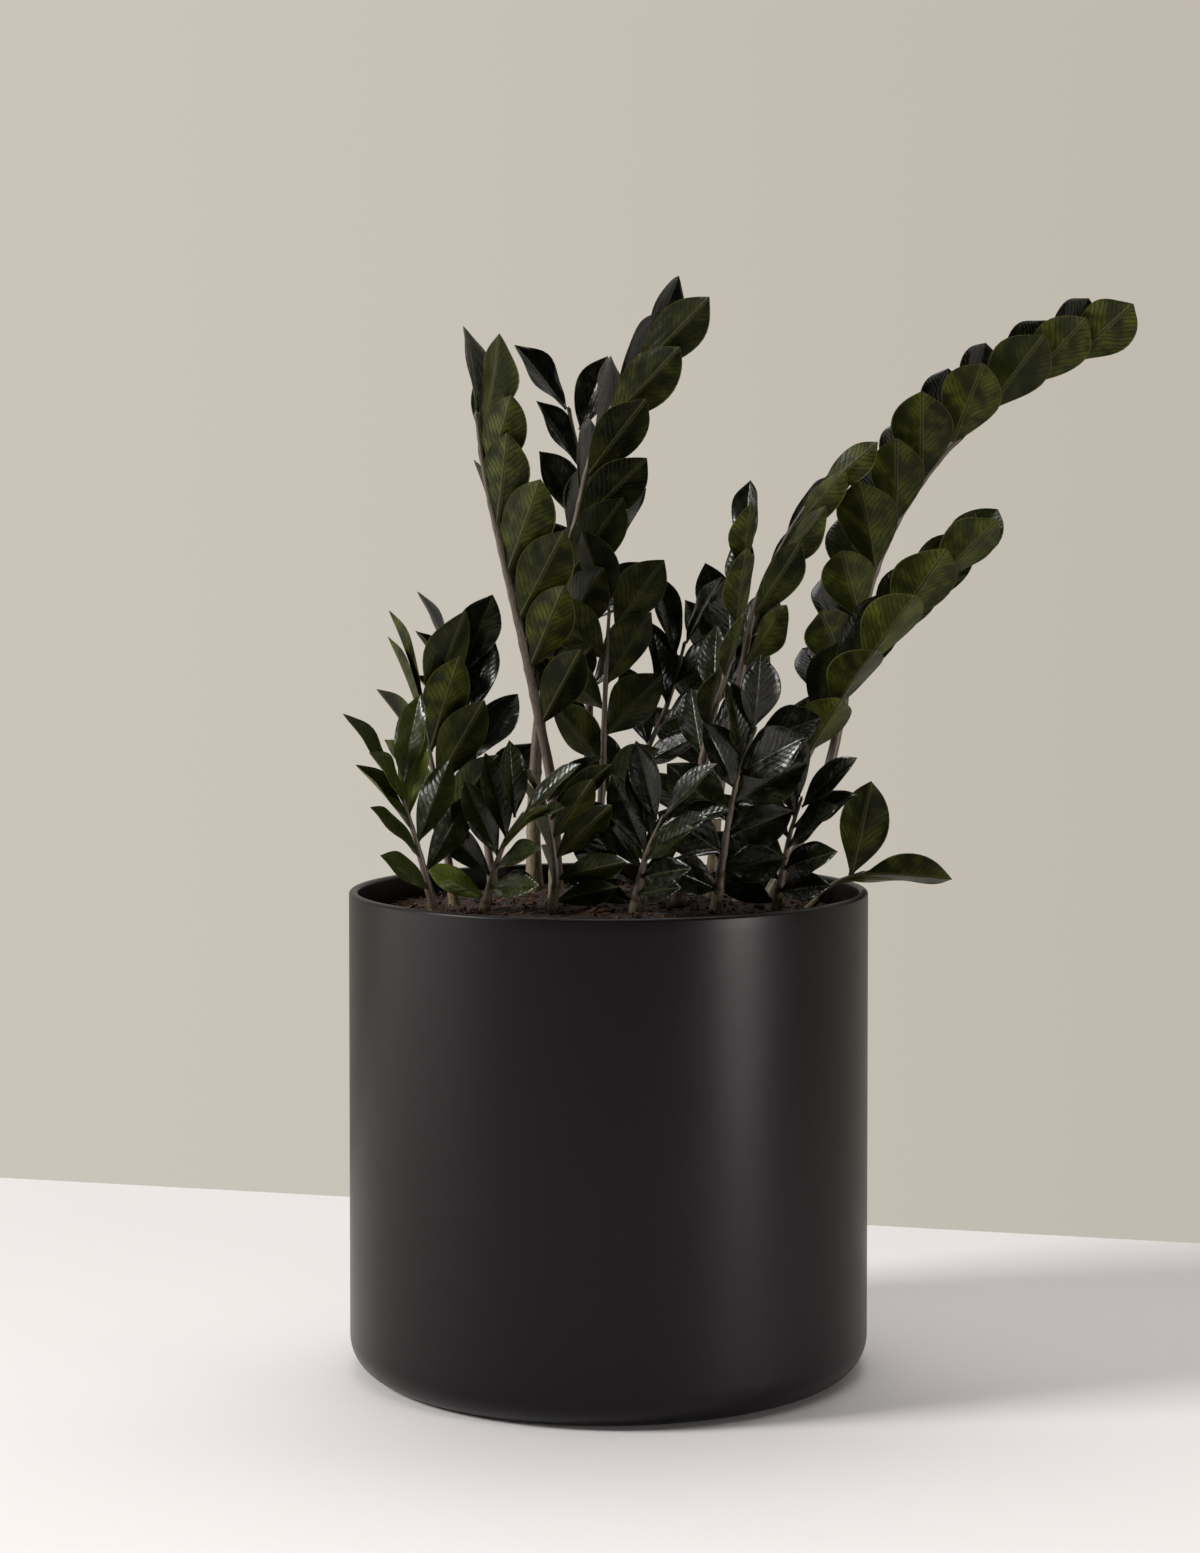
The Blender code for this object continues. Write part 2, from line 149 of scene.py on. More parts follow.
# Base x and y are shares of the mix's radius; the path gives (right, back, up) steps from there.
# start: share of the stem where leaflets begin. length, width: a full leaflet's size. face: the
# compass direction of the leaflets' upper side. rise: lift of both rows towards that side. splay:
# angle to the stem at the first and the last leaflet. twist: turn of each blade towards the tip.
FRONDS = (
    Frond("tall_left", -0.21, 0.05,
          ((-2, 2, 60), (-9, 4, 100), (-21, 4, 156), (-28, 3, 186), (-40, 0, 240), (-46, -3, 282)),
          3.9, 14, 0.36, 64, 34, 26, 34, (42, 24), 14, 11),
    Frond("tall_centre", -0.31, 0.50,
          ((0, 0, 60), (5, 0, 120), (15, -2, 175), (26, -4, 225), (38, -6, 272), (64, -10, 322)),
          4.6, 14, 0.34, 70, 33, 20, 26, (38, 22), 46, 12),
    Frond("tall_back", -0.10, 0.82,
          ((2, 4, 80), (3, 8, 160), (2, 10, 230), (-10, 10, 296)),
          3.6, 11, 0.34, 54, 29, -80, 26, (46, 24), 18, 13),
    Frond("mid_centre", -0.08, 0.34,
          ((5, 0, 30), (8, 0, 68), (9, 0, 104), (11, 0, 150), (12, -2, 168)),
          3.0, 8, 0.36, 52, 34, 85, 24, (50, 16), 12, 14),
    Frond("centre_back", -0.04, 0.66,
          ((10, 0, 36), (24, 0, 74), (38, 0, 104), (46, 0, 126), (52, 0, 150)),
          3.0, 8, 0.40, 54, 27, -110, 26, (50, 20), 16, 15),
    Frond("mid_right_front", 0.28, -0.05,
          ((6, 0, 40), (14, -2, 84), (20, -4, 112), (32, -6, 150), (40, -8, 200)),
          3.4, 9, 0.42, 50, 24, -170, 30, (40, 14), 18, 16),
    Frond("mid_right_back", 0.42, 0.28,
          ((4, 0, 56), (12, 0, 100), (18, 0, 134), (26, 0, 172), (44, 0, 212), (62, -2, 240)),
          3.8, 11, 0.42, 56, 24, 5, 32, (38, 20), 20, 17),
    Frond("right_front", 0.53, 0.12,
          ((12, -10, 36), (26, -24, 66), (46, -36, 104), (64, -42, 132), (88, -46, 164),
           (116, -48, 192)),
          3.7, 11, 0.36, 62, 36, 180, 20, (32, 22), 50, 18),
    Frond("right_arch", 0.66, 0.32,
          ((30, 2, 62), (42, 4, 106), (50, 6, 150), (68, 8, 208), (92, 8, 250), (124, 6, 286),
           (156, 4, 308), (178, 2, 318)),
          4.0, 18, 0.33, 62, 39, 180, 46, (46, 30), 46, 19),
    Frond("left_short", -0.62, 0.08,
          ((-5, 0, 34), (-10, -2, 66), (-16, -4, 98), (-18, -4, 118)),
          2.8, 8, 0.40, 62, 30, 60, 26, (44, 18), 14, 20),
    Frond("left_low", -0.68, -0.26,
          ((-6, -3, 26), (-13, -6, 52), (-22, -8, 80)),
          2.5, 9, 0.20, 54, 22, -50, 26, (46, 20), 14, 21),
    Frond("left_sprig", -0.49, -0.22,
          ((5, -2, 20), (12, -4, 40), (22, -6, 56)),
          2.4, 10, 0.12, 48, 20, -120, 30, (70, 20), 12, 22),
    Frond("low_centre", -0.22, -0.26,
          ((2, -2, 18), (0, -4, 40), (-4, -6, 62)),
          2.4, 11, 0.08, 50, 20, 40, 30, (76, 18), 10, 23),
    Frond("low_right_centre", 0.10, -0.32,
          ((3, -2, 18), (8, -4, 36), (16, -6, 54)),
          2.4, 12, 0.08, 48, 20, -120, 30, (76, 18), 10, 24),
    Frond("low_sprig", 0.14, 0.10,
          ((1, -2, 16), (0, -4, 34)),
          1.9, 4, 0.45, 28, 13, 90, 22, (48, 24), 10, 25),
    Frond("round_cluster", 0.42, -0.24,
          ((4, -4, 30), (8, -8, 56), (14, -10, 84), (22, -12, 104)),
          2.8, 11, 0.12, 46, 31, -90, 20, (72, 20), 12, 26),
    Frond("low_right", 0.66, -0.16,
          ((4, -4, 24), (8, -8, 46), (14, -12, 66)),
          2.5, 11, 0.08, 52, 22, -120, 28, (76, 20), 12, 27),
    Frond("rim_sprig", 0.80, 0.02,
          ((14, -10, 16), (30, -20, 24)),
          1.9, 3, 0.62, 62, 34, 100, 20, (70, 24), 10, 28),
    Frond("low_back_left", -0.48, 0.58,
          ((-6, 8, 40), (-14, 16, 80), (-22, 22, 116), (-26, 26, 140)),
          2.8, 9, 0.28, 54, 28, -60, 26, (50, 22), 16, 29),
    Frond("low_back_right", 0.34, 0.72,
          ((6, 8, 40), (12, 16, 84), (20, 22, 124), (24, 24, 152)),
          2.8, 9, 0.28, 54, 28, -110, 26, (50, 22), 16, 30),
)


# ---------------------------------------------------------------- stems and layout, as in the CAD model

def mix_radius():
    """The mix fills the planter to a small gap from its wall."""
    return POT_RADIUS - POT_WALL - FIT_GAP


def mix_height(x, y):
    """Height of the crowned mix at a point in plan."""
    share = min(1.0, math.hypot(x, y) / mix_radius())
    return POT_HEIGHT - MIX_BELOW_RIM + MIX_CROWN * (1.0 - share * share)


class Stem:
    """A frond's centreline: smooth points from under the mix to the last leaflet."""

    def __init__(self, frond):
        self.frond = frond
        x, y = frond.x * mix_radius(), frond.y * mix_radius()
        self.foot = Vector((x, y, mix_height(x, y)))
        self.points = self.curve(STEM_SPANS)
        self.lengths = [0.0]
        for a, b in zip(self.points, self.points[1:]):
            self.lengths.append(self.lengths[-1] + (b - a).length)

    def curve(self, spans):
        """Points on a smooth curve through the foot and the path, in so many spans a step."""
        knots = [self.foot] + [self.foot + Vector(step) for step in self.frond.path]
        padded = [knots[0] * 2 - knots[1]] + knots + [knots[-1] * 2 - knots[-2]]
        points = [catmull(padded[i - 1:i + 3], j / spans)
                  for i in range(1, len(padded) - 2) for j in range(spans)]
        return points + [knots[-1]]

    def at(self, share):
        """(point, tangent, radius) at a share of the visible length."""
        wanted = share * self.lengths[-1]
        i = max(k for k in range(len(self.points) - 1) if self.lengths[k] <= wanted + 1e-9)
        step = self.points[i + 1] - self.points[i]
        done = (wanted - self.lengths[i]) / step.length
        return self.points[i] + step * done, step.normalized(), self.radius(share)

    def radius(self, share):
        """The stem's radius: it tapers upwards and swells at its foot."""
        swell = math.exp(-share * self.lengths[-1] / SWELL_HEIGHT)
        slim = self.frond.radius * STEM_SCALE * (1.0 - 0.68 * share ** 0.8)
        return slim * (1.0 + (BASE_SWELL - 1.0) * swell)

    def tube(self):
        """Curve points with radii, from the buried end to the tip."""
        buried = self.foot - Vector((0.0, 0.0, STEM_DEPTH))
        shares = [length / self.lengths[-1] for length in self.lengths]
        return ([(buried, self.radius(0.0))]
                + [(point, self.radius(share)) for point, share in zip(self.points, shares)])


def catmull(four, t):
    """A point between the middle two of four knots, on the smooth curve through them."""
    a, b, c, d = four
    return 0.5 * (2 * b + (c - a) * t + (2 * a - 5 * b + 4 * c - d) * t ** 2
                  + (3 * b - a - 3 * c + d) * t ** 3)


def tube_mesh(name, points):
    """A capped round tube through (point, radius) pairs, as one welded mesh."""
    curve = bpy.data.curves.new(name, "CURVE")
    curve.dimensions = "3D"
    curve.bevel_depth = MM
    curve.bevel_resolution = STEM_SIDES_RESOLUTION
    curve.use_fill_caps = True
    spline = curve.splines.new("POLY")
    spline.points.add(len(points) - 1)
    for spline_point, (position, radius) in zip(spline.points, points):
        spline_point.co = (*(position * MM), 1.0)
        spline_point.radius = radius
    guide = bpy.data.objects.new(name, curve)
    bpy.context.scene.collection.objects.link(guide)
    graph = bpy.context.evaluated_depsgraph_get()
    mesh = bpy.data.meshes.new_from_object(guide.evaluated_get(graph))
    bpy.data.objects.remove(guide)
    bpy.data.curves.remove(curve)
    work = bmesh.new()
    work.from_mesh(mesh)
    bmesh.ops.remove_doubles(work, verts=work.verts, dist=0.00001)
    bmesh.ops.recalc_face_normals(work, faces=work.faces)
    work.to_mesh(mesh)
    work.free()
    return mesh


Leaf = namedtuple("Leaf", "root along across normal length width")


def leaf_width(share):
    """Half-width of a leaflet as a share of its greatest: a narrow foot and a drawn-out tip."""
    body = math.sin(math.pi * share ** 0.92) ** 0.66
    return max(LEAF_TIP_WIDTH, body, LEAF_BASE_WIDTH * (1.0 - share))


def leaf_point(leaf, share, side, lift=0.0, grow=0.0):
    """A point of a blade that is folded along its midrib and bends back towards its tip."""
    bend = math.radians(LEAF_RECURVE) * share
    fold = math.radians(LEAF_FOLD)
    reach = leaf.length * share * math.cos(bend / 2) + grow * (2 * share - 1)
    normal = leaf.normal * math.cos(bend) + leaf.along * math.sin(bend)
    half = leaf.width / 2 * leaf_width(share) + grow
    out = leaf.across * (side * math.cos(fold)) + normal * (abs(side) * math.sin(fold))
    drop = -leaf.length * share * math.sin(bend / 2)
    return leaf.root + leaf.along * reach + leaf.normal * drop + out * half + normal * lift


def blade_test(leaf):
    """A tree of a blade with the clearance it needs on every side."""
    half = LEAF_THICKNESS / 2 + FIT_GAP * 1.3
    rows = len(LEAF_SHARES)
    points = [leaf_point(leaf, share, side, lift, FIT_GAP * 1.5)
              for lift in (half, -half) for share in LEAF_SHARES for side in (-1, 0, 1)]
    layer = rows * 3
    faces = []
    for base in (0, layer):
        for row in range(rows - 1):
            for column in (0, 1):
                a = base + row * 3 + column
                faces.append((a, a + 1, a + 4, a + 3))
    ring = ([row * 3 for row in range(rows)] + [layer - 2, layer - 1]
            + [row * 3 + 2 for row in reversed(range(rows - 1))] + [1])
    for a, b in zip(ring, ring[1:] + ring[:1]):
        faces.append((a, b, b + layer, a + layer))
    return tree_of(points, faces)


def tree_of(points, faces):
    """A search tree of faces, for finding overlaps."""
    return BVHTree.FromPolygons([tuple(point) for point in points], faces)


def leaf_on(stem, place, trial):
    """The leaflet at its place on a stem, shifted by a trial."""
    frond = stem.frond
    side = place["side"]
    point, along_stem, stem_radius = stem.at(place["share"])
    facing = Vector((math.cos(math.radians(frond.face)), math.sin(math.radians(frond.face)), 0.0))
    front = (facing - along_stem * facing.dot(along_stem)).normalized()
    across_stem = along_stem.cross(front)
    lift, swing, turn, shrink = trial
    rise = math.radians(frond.rise + place["rise"] + lift)
    first, last = frond.splay
    splay = math.radians(first + (last - first) * place["order"] + place["splay"] + swing)
    twist = math.radians(frond.twist + place["twist"] + turn)
    out = across_stem * (side * math.cos(rise)) + front * math.sin(rise)
    flat = front * math.cos(rise) - across_stem * (side * math.sin(rise))
    along = along_stem * math.cos(splay) + out * math.sin(splay)
    inward = along_stem * math.sin(splay) - out * math.cos(splay)
    normal = flat * math.cos(twist) + inward * math.sin(twist)
    start = stem_radius + FIT_GAP * 2 if place["is_loose"] else stem_radius * 0.35
    size = frond.length * LEAF_SCALE * place["size"] * shrink
    width = frond.width * LEAF_SCALE * place["size"] * shrink
    return Leaf(point + out * start, along, along.cross(normal), normal, size, width)


def stand_off(leaf, stem_tree):
    """Slides a loose leaflet outwards along its own line until it just clears its stem."""
    for step in range(STAND_OFF_STEPS):
        moved = leaf._replace(root=leaf.root + leaf.along * (step * FIT_GAP / 2))
        tree = blade_test(moved)
        if not tree.overlap(stem_tree):
            break
    return moved, tree


def trials():
    """Shifts that a growing leaflet tries, nearest first: (lift, swing, turn, size)."""
    yield (0, 0, 0, 1.0)
    ways = ((1, 0), (-1, 0), (0, 1), (0, -1), (1, 1), (-1, -1), (1, -1), (-1, 1))
    for shrink in (1.0, 0.9, 0.8, 0.66, 0.5):
        for reach in (1, 2, 3, 4, 6):
            for lift, swing in ways:
                for turn in (0, 14, -14):
                    yield (lift * reach * 8, swing * reach * 7, turn, shrink)


def loose_count(frond):
    """How many leaflets at a frond's end are pieces of their own."""
    return 1 if frond.count <= SMALL_SPRIG else 2


def places(frond):
    """Each leaflet's place on its frond with its own small variations, end leaflets first."""
    dice = random.Random(frond.seed)
    for number in reversed(range(frond.count)):
        order = number / (frond.count - 1)
        full = 0.74 + 0.26 * math.sin(0.47 + 1.95 * order)
        yield {
            "order": order,
            "share": frond.start + (1.0 - frond.start) * order ** 0.92 - 0.002,
            "side": 1 if number % 2 else -1,
            "is_loose": number >= frond.count - loose_count(frond),
            "rise": dice.uniform(-7, 7),
            "splay": dice.uniform(-6, 6),
            "twist": dice.uniform(-8, 8),
            "size": dice.uniform(0.92, 1.06) * full,
        }


class Layout:
    """Grows every leaflet clear of the pieces already there."""

    def __init__(self, vessel_trees, stem_trees):
        self.stem_trees = stem_trees
        self.placed = [("", tree) for tree in vessel_trees] + list(stem_trees.items())

    def fit(self, stem, place):
        """The first trial of a leaflet that is clear, with its tree, or (None, None)."""
        own = stem.frond.name
        for trial in trials():
            leaf = leaf_on(stem, place, trial)
            if place["is_loose"]:
                leaf, tree = stand_off(leaf, self.stem_trees[own])
                others = self.placed
            else:
                tree = blade_test(leaf)
                others = [entry for entry in self.placed if entry[0] != own]
            if not any(tree.overlap(other) for _, other in others):
                return leaf, tree
        return None, None

    def grow(self, stem, want_loose):
        """Grows a frond's loose leaflets, or the ones that join its stem."""
        name = stem.frond.name
        grown = []
        for place in places(stem.frond):
            if place["is_loose"] != want_loose:
                continue
            leaf, tree = self.fit(stem, place)
            if leaf:
                grown.append(leaf)
                self.placed.append(("" if want_loose else name, tree))
        return grown

    def grow_all(self, stems):
        """Loose leaflets grow first, so that each finds its room."""
        self.loose = {stem.frond.name: self.grow(stem, True) for stem in stems}
        self.joined = {stem.frond.name: self.grow(stem, False) for stem in stems}


def mesh_tree(mesh):
    """A tree of a mesh, in millimetres."""
    points = [vert.co / MM for vert in mesh.vertices]
    return tree_of(points, [tuple(face.vertices) for face in mesh.polygons])


# ---------------------------------------------------------------- shared shapes

def bulge(distance, rise, width):
    """Height of a rounded ridge at a distance from its crest."""
    return rise * np.exp(-((distance / width) ** 2))


def tube_faces(start, rings, sides):
    """Faces between rings of points that follow each other."""
    faces = []
    for ring in range(rings - 1):
        for k in range(sides):
            a = start + ring * sides + k
            b = start + ring * sides + (k + 1) % sides
            faces.append((a, b, b + sides, a + sides))
    return faces


def keep_measure(mesh, name, values):
    """Stores one number for each point of a mesh, for its finish to read."""
    mesh.attributes.new(name, "FLOAT", "POINT").data.foreach_set("value", values)


# ---------------------------------------------------------------- fine blades

Look = namedtuple("Look", "tone youth wave phase curl fold")


def leaf_look(name, dice):
    """A leaflet's tone, held down by painted shade on some fronds, and its age and waviness."""
    youth = FROND_YOUTH.get(name, 0.0) + dice.uniform(-0.08, 0.08)
    if name in FRESH_FRONDS and dice.random() < FRESH_SHARE:
        youth += FRESH_YOUTH
    return Look(
        # Random tone, scaled down as painted shade on the fronds listed near the top
        tone=dice.random() * FROND_PAINTED_SHADE.get(name, 1.0),
        youth=max(0.0, youth),
        wave=dice.uniform(0.4, 1.5),
        phase=dice.uniform(0.0, 6.28),
        curl=dice.uniform(0.02, 0.10),
        fold=dice.uniform(2, 16),
    )


def outline(t):
    """Half-width along a blade: a wedge-shaped foot, a full middle and a short point."""
    body = np.sin(np.pi * np.clip(t, 0.0, 1.0) ** 1.2) ** (0.84 - 0.02 * t)
    body = body * (1.0 - 0.35 * t ** 12)
    foot = LEAF_BASE_WIDTH * np.clip(1.0 - t * 6.0, 0.0, 1.0)
    return np.maximum(np.maximum(body, foot), 0.008)


def blade_grid():
    """Shares along a blade and across it at its points, crowded towards its two ends."""
    t = np.linspace(0.0, 1.0, BLADE_ROWS)
    t = t - BLADE_CROWDING * np.sin(2 * np.pi * t)
    half_shares = np.array(BLADE_SHARES)
    u = np.concatenate([-half_shares[:0:-1], half_shares])
    return np.meshgrid(t, u, indexing="ij")


def blade_height(t, u, half, look):
    """How far a blade rises from its flat: creased at the rib, curled down and waved at the margin."""
    fold = math.radians(LEAF_FOLD + look.fold)
    crease = (np.sqrt(u * u + 0.03) - 0.173) * math.sin(fold) * 1.1
    wave = np.sin(2 * np.pi * MARGIN_WAVES * t + look.phase + np.sign(u) * 0.9)
    height = half * (crease - look.curl * u ** 4)
    return height + look.wave * wave * np.abs(u) ** 3 * np.minimum(1.0, half / 8)


def blade_sides(leaf, look, t, u):
    """Points of a blade's upper side and underside, with the rib's groove above and its ridge below."""
    half = leaf.width / 2 * outline(t)
    bend = math.radians(BLADE_RECURVE) * t
    fold = math.radians(LEAF_FOLD + look.fold)
    along, across, normal = (np.array(v) for v in (leaf.along, leaf.across, leaf.normal))
    reach = leaf.length * t * np.cos(bend / 2)
    drop = leaf.length * t * np.sin(bend / 2)
    up = normal * np.cos(bend)[..., None] + along * np.sin(bend)[..., None]
    height = blade_height(t, u, half, look)
    middle = (np.array(leaf.root) + along * reach[..., None] - normal * drop[..., None]
              + across * (u * half * math.cos(fold))[..., None] + up * height[..., None])
    thin_ends = np.minimum(1.0, np.minimum(t, 1.0 - t) * 12 + 0.25)
    thick = BLADE_THICKNESS / 2 * np.maximum(0.16, 1.0 - np.abs(u) ** 6) * thin_ends
    from_rib = np.abs(u) * half
    groove = bulge(from_rib, GROOVE_DEPTH * (1.0 - 0.6 * t), 0.8)
    rib = bulge(from_rib, RIB_HEIGHT * (1.0 - 0.75 * t), 0.9 - 0.45 * t)
    top = middle + up * (thick - groove)[..., None]
    bottom = middle - up * (thick + rib)[..., None]
    return np.concatenate([top.reshape(-1, 3), bottom.reshape(-1, 3)])


def blade_faces(rows, columns):
    """A closed blade's faces, with 0 for each on the upper side and 1 for the rest."""
    index = np.arange(rows * columns).reshape(rows, columns)
    layer = rows * columns
    quads = np.stack([index[:-1, :-1], index[:-1, 1:], index[1:, 1:], index[1:, :-1]], -1)
    quads = quads.reshape(-1, 4)
    edge = np.concatenate([index[0, ::-1], index[1:, 0], index[-1, 1:], index[-2:0:-1, -1]])
    after = np.roll(edge, -1)
    rim = np.stack([edge, edge + layer, after + layer, after], -1)
    faces = np.concatenate([quads, quads[:, ::-1] + layer, rim])
    return faces, np.concatenate([np.zeros(len(quads)), np.ones(len(quads) + len(rim))])


def blade_parts(leaf, look):
    """One closed blade's points and faces, and the measures that its finish is drawn from."""
    t, u = blade_grid()
    points = blade_sides(leaf, look, t, u)
    faces, is_under = blade_faces(*t.shape)
    across = u * leaf.width / 2 * outline(t)
    blade = np.stack([across, t * leaf.length, np.full_like(t, look.tone * PATTERN_SHIFT)], -1)
    return {
        "points": points * MM,
        "faces": faces,
        "is_under": is_under,
        "blade": np.concatenate([blade.reshape(-1, 3)] * 2),
        "margin": np.concatenate([np.abs(u).ravel()] * 2),
        "tone": np.full(len(points), look.tone),
        "youth": np.full(len(points), look.youth),
    }


def blades_mesh(name, leaves, looks):
    """One mesh of several blades, with their measures as attributes."""
    blades = [blade_parts(leaf, look) for leaf, look in zip(leaves, looks)]
    parts = {key: np.concatenate([blade[key] for blade in blades]) for key in blades[0]}
    step = len(blades[0]["points"])
    faces = np.concatenate([blade["faces"] + i * step for i, blade in enumerate(blades)])
    mesh = bpy.data.meshes.new(name)
    mesh.from_pydata(parts["points"].tolist(), [], faces.tolist())
    mesh.polygons.foreach_set("material_index", parts["is_under"].astype(int))
    vector = mesh.attributes.new("blade", "FLOAT_VECTOR", "POINT")
    vector.data.foreach_set("vector", parts["blade"].ravel())
    for key in ("margin", "tone", "youth"):
        keep_measure(mesh, key, parts[key])
    mesh.shade_smooth()
    mesh.update()
    return mesh


# ---------------------------------------------------------------- fine stems

def ring_frames(points):
    """Two directions across a path at each point, turned as little as possible."""
    tangents = [(b - a).normalized() for a, b in zip(points, points[1:])]
    tangents.append(tangents[-1])
    side = tangents[0].cross(Vector((0.0, 1.0, 0.0))).normalized()
    frames = []
    for tangent in tangents:
        side = (side - tangent * side.dot(tangent)).normalized()
        frames.append((side, tangent.cross(side)))
    return frames


def skin_stations(stem):
    """Where a stem's skin has its rings: (share, point, height above the mix along the stem)."""
    dense = stem.curve(SKIN_SPANS)
    steps = [(b - a).length for a, b in zip(dense, dense[1:])]
    lengths = np.concatenate([[0.0], np.cumsum(steps)])
    length = lengths[-1]
    shares = np.linspace(0.0, 1.0, max(8, int(length / SKIN_STEP)) + 1)
    coords = np.array([tuple(point) for point in dense])
    xyz = np.stack([np.interp(shares * length, lengths, coords[:, i]) for i in range(3)], -1)
    down = Vector((0.0, 0.0, -STEM_DEPTH))
    buried = [(0.0, stem.foot + down, -STEM_DEPTH), (0.0, stem.foot + down * 0.4, -9.0)]
    return buried + [(share, Vector(point), share * length) for share, point in zip(shares, xyz)]


def skin_radius(stem, share, height, length, sheath, leaf_shares):
    """A stem's radius with its swellings: at each leaflet and at two rings of old sheath."""
    near = min((abs(share - leaf_share) * length for leaf_share in leaf_shares), default=99.0)
    radius = stem.radius(share) * (1.0 + bulge(near, NODE_SWELL, NODE_REACH))
    return radius + bulge(height - sheath, 0.55, 1.6) + bulge(height - sheath * 0.5, 0.30, 1.4)


def skin_ring(point, side, other, radius):
    """Points of one slightly uneven ring round a stem."""
    ring = []
    for k in range(SKIN_SIDES):
        angle = 2 * math.pi * k / SKIN_SIDES
        uneven = 1.0 + 0.035 * noise.noise(point * 0.12 + side * math.cos(angle) * 2)
        spoke = side * math.cos(angle) + other * math.sin(angle)
        ring.append(tuple((point + spoke * radius * uneven) * MM))
    return ring


def skin_mesh(stem, leaf_shares):
    """A stem's skin: slightly uneven rings from its buried end up to the bud at its tip."""
    name = stem.frond.name
    dice = random.Random(stem.frond.seed + SKIN_SEED)
    sheath = SHEATH_HEIGHTS.get(name, dice.uniform(5, 14))
    stations = skin_stations(stem)
    length = stations[-1][2]
    frames = ring_frames([point for _, point, _ in stations])
    points, heights, tips = [], [], []
    for (share, point, height), (side, other) in zip(stations, frames):
        radius = skin_radius(stem, share, height, length, sheath, leaf_shares)
        points += skin_ring(point, side, other, radius)
        heights += [height - sheath] * SKIN_SIDES
        tips += [share] * SKIN_SIDES
    tip = stations[-1][1]
    bud = tip + (tip - stations[-2][1]).normalized() * BUD_LENGTH
    points.append(tuple(bud * MM))
    heights.append(length)
    tips.append(1.0)
    faces = tube_faces(0, len(stations), SKIN_SIDES) + [tuple(reversed(range(SKIN_SIDES)))]
    end, last = len(points) - 1, (len(stations) - 1) * SKIN_SIDES
    faces += [(last + k, last + (k + 1) % SKIN_SIDES, end) for k in range(SKIN_SIDES)]
    mesh = bpy.data.meshes.new(f"skin_{name}")
    mesh.from_pydata(points, [], faces)
    keep_measure(mesh, "above_sheath", heights)
    keep_measure(mesh, "tip", tips)
    mesh.shade_smooth()
    mesh.update()
    return mesh


# ---------------------------------------------------------------- planter and mix

def lathe_mesh(name, profile, sides):
    """A closed turned mesh from an (x, z) profile whose ends lie on the axis."""
    points = [(0.0, 0.0, profile[0][1] * MM)]
    for x, z in profile[1:-1]:
        for k in range(sides):
            angle = 2 * math.pi * k / sides
            points.append((x * MM * math.cos(angle), x * MM * math.sin(angle), z * MM))
    points.append((0.0, 0.0, profile[-1][1] * MM))
    last = 1 + (len(profile) - 3) * sides
    faces = tube_faces(1, len(profile) - 2, sides)
    for k in range(sides):
        after = (k + 1) % sides
        faces.append((0, 1 + after, 1 + k))
        faces.append((last + k, last + after, len(points) - 1))
    mesh = bpy.data.meshes.new(name)
    mesh.from_pydata(points, [], faces)
    work = bmesh.new()
    work.from_mesh(mesh)
    bmesh.ops.recalc_face_normals(work, faces=work.faces)
    work.to_mesh(mesh)
    work.free()
    mesh.shade_smooth()
    return mesh


def arc(centre_x, centre_z, radius, start, end, steps):
    """Points (x, z) on an arc, from one angle to the other, both ends included."""
    angles = [math.radians(start + (end - start) * i / steps) for i in range(steps + 1)]
    return [(centre_x + radius * math.cos(a), centre_z + radius * math.sin(a)) for a in angles]


def pot_mesh():
    """The planter's wall, drawn from the middle of its floor inside to the middle of its base."""
    inner = POT_RADIUS - POT_WALL
    corner = POT_CORNER - POT_WALL
    lip_z = POT_HEIGHT - LIP_RADIUS
    inside = arc(inner - corner, POT_FLOOR + corner, corner, -90, 0, 10)
    wall_in = [(inner, z) for z in INNER_WALL_RINGS]
    lip = arc(inner + LIP_RADIUS, lip_z, LIP_RADIUS, 180, 90, 6)
    lip += arc(POT_RADIUS - LIP_RADIUS, lip_z, LIP_RADIUS, 90, 0, 6)
    wall_out = [(POT_RADIUS, z) for z in OUTER_WALL_RINGS]
    outside = arc(POT_RADIUS - POT_CORNER, POT_CORNER, POT_CORNER, 0, -90, 14)
    profile = [(0.0, POT_FLOOR)] + inside + wall_in + lip + wall_out + outside + [(0.0, 0.0)]
    return lathe_mesh("planter", profile, POT_SIDES)


def lumpy(x, y):
    """Height of the mix's uneven surface, which is even at the planter's wall."""
    at = Vector((x, y, 0.0))
    edge = min(1.0, max(0.0, (mix_radius() - math.hypot(x, y)) / MIX_EDGE))
    lump = noise.fractal(at * 0.045, 0.9, 2.1, 5) * MIX_LUMP
    return mix_height(x, y) + lump * edge + MIX_GRIT * noise.noise(at * 0.6) * edge


def mix_mesh():
    """The mix as one closed body with a lumpy top."""
    radius = mix_radius()
    profile = [(0.0, mix_height(0.0, 0.0))]
    profile += [(radius * (i / MIX_RINGS), POT_HEIGHT) for i in range(1, MIX_RINGS + 1)]
    profile += [(radius, POT_CORNER), (radius - POT_CORNER + POT_WALL, POT_FLOOR + FIT_GAP)]
    profile += [(0.0, POT_FLOOR + FIT_GAP)]
    mesh = lathe_mesh("mix", profile, MIX_SIDES)
    for vert in mesh.vertices:
        if vert.co.z > POT_CORNER * MM * 2:
            vert.co.z = lumpy(vert.co.x / MM, vert.co.y / MM) * MM
    mesh.update()
    return mesh


Crumbs = namedtuple("Crumbs", "points faces tones")

CHIP_FACES = ((0, 1, 3, 2), (4, 6, 7, 5), (0, 4, 5, 1), (2, 3, 7, 6), (0, 2, 6, 4), (1, 5, 7, 3))


def spot_on_mix(dice):
    """A random place on the mix, clear of the planter's wall."""
    reach = (mix_radius() - MIX_EDGE) * math.sqrt(dice.random())
    angle = dice.uniform(0.0, 2 * math.pi)
    return reach * math.cos(angle), reach * math.sin(angle)


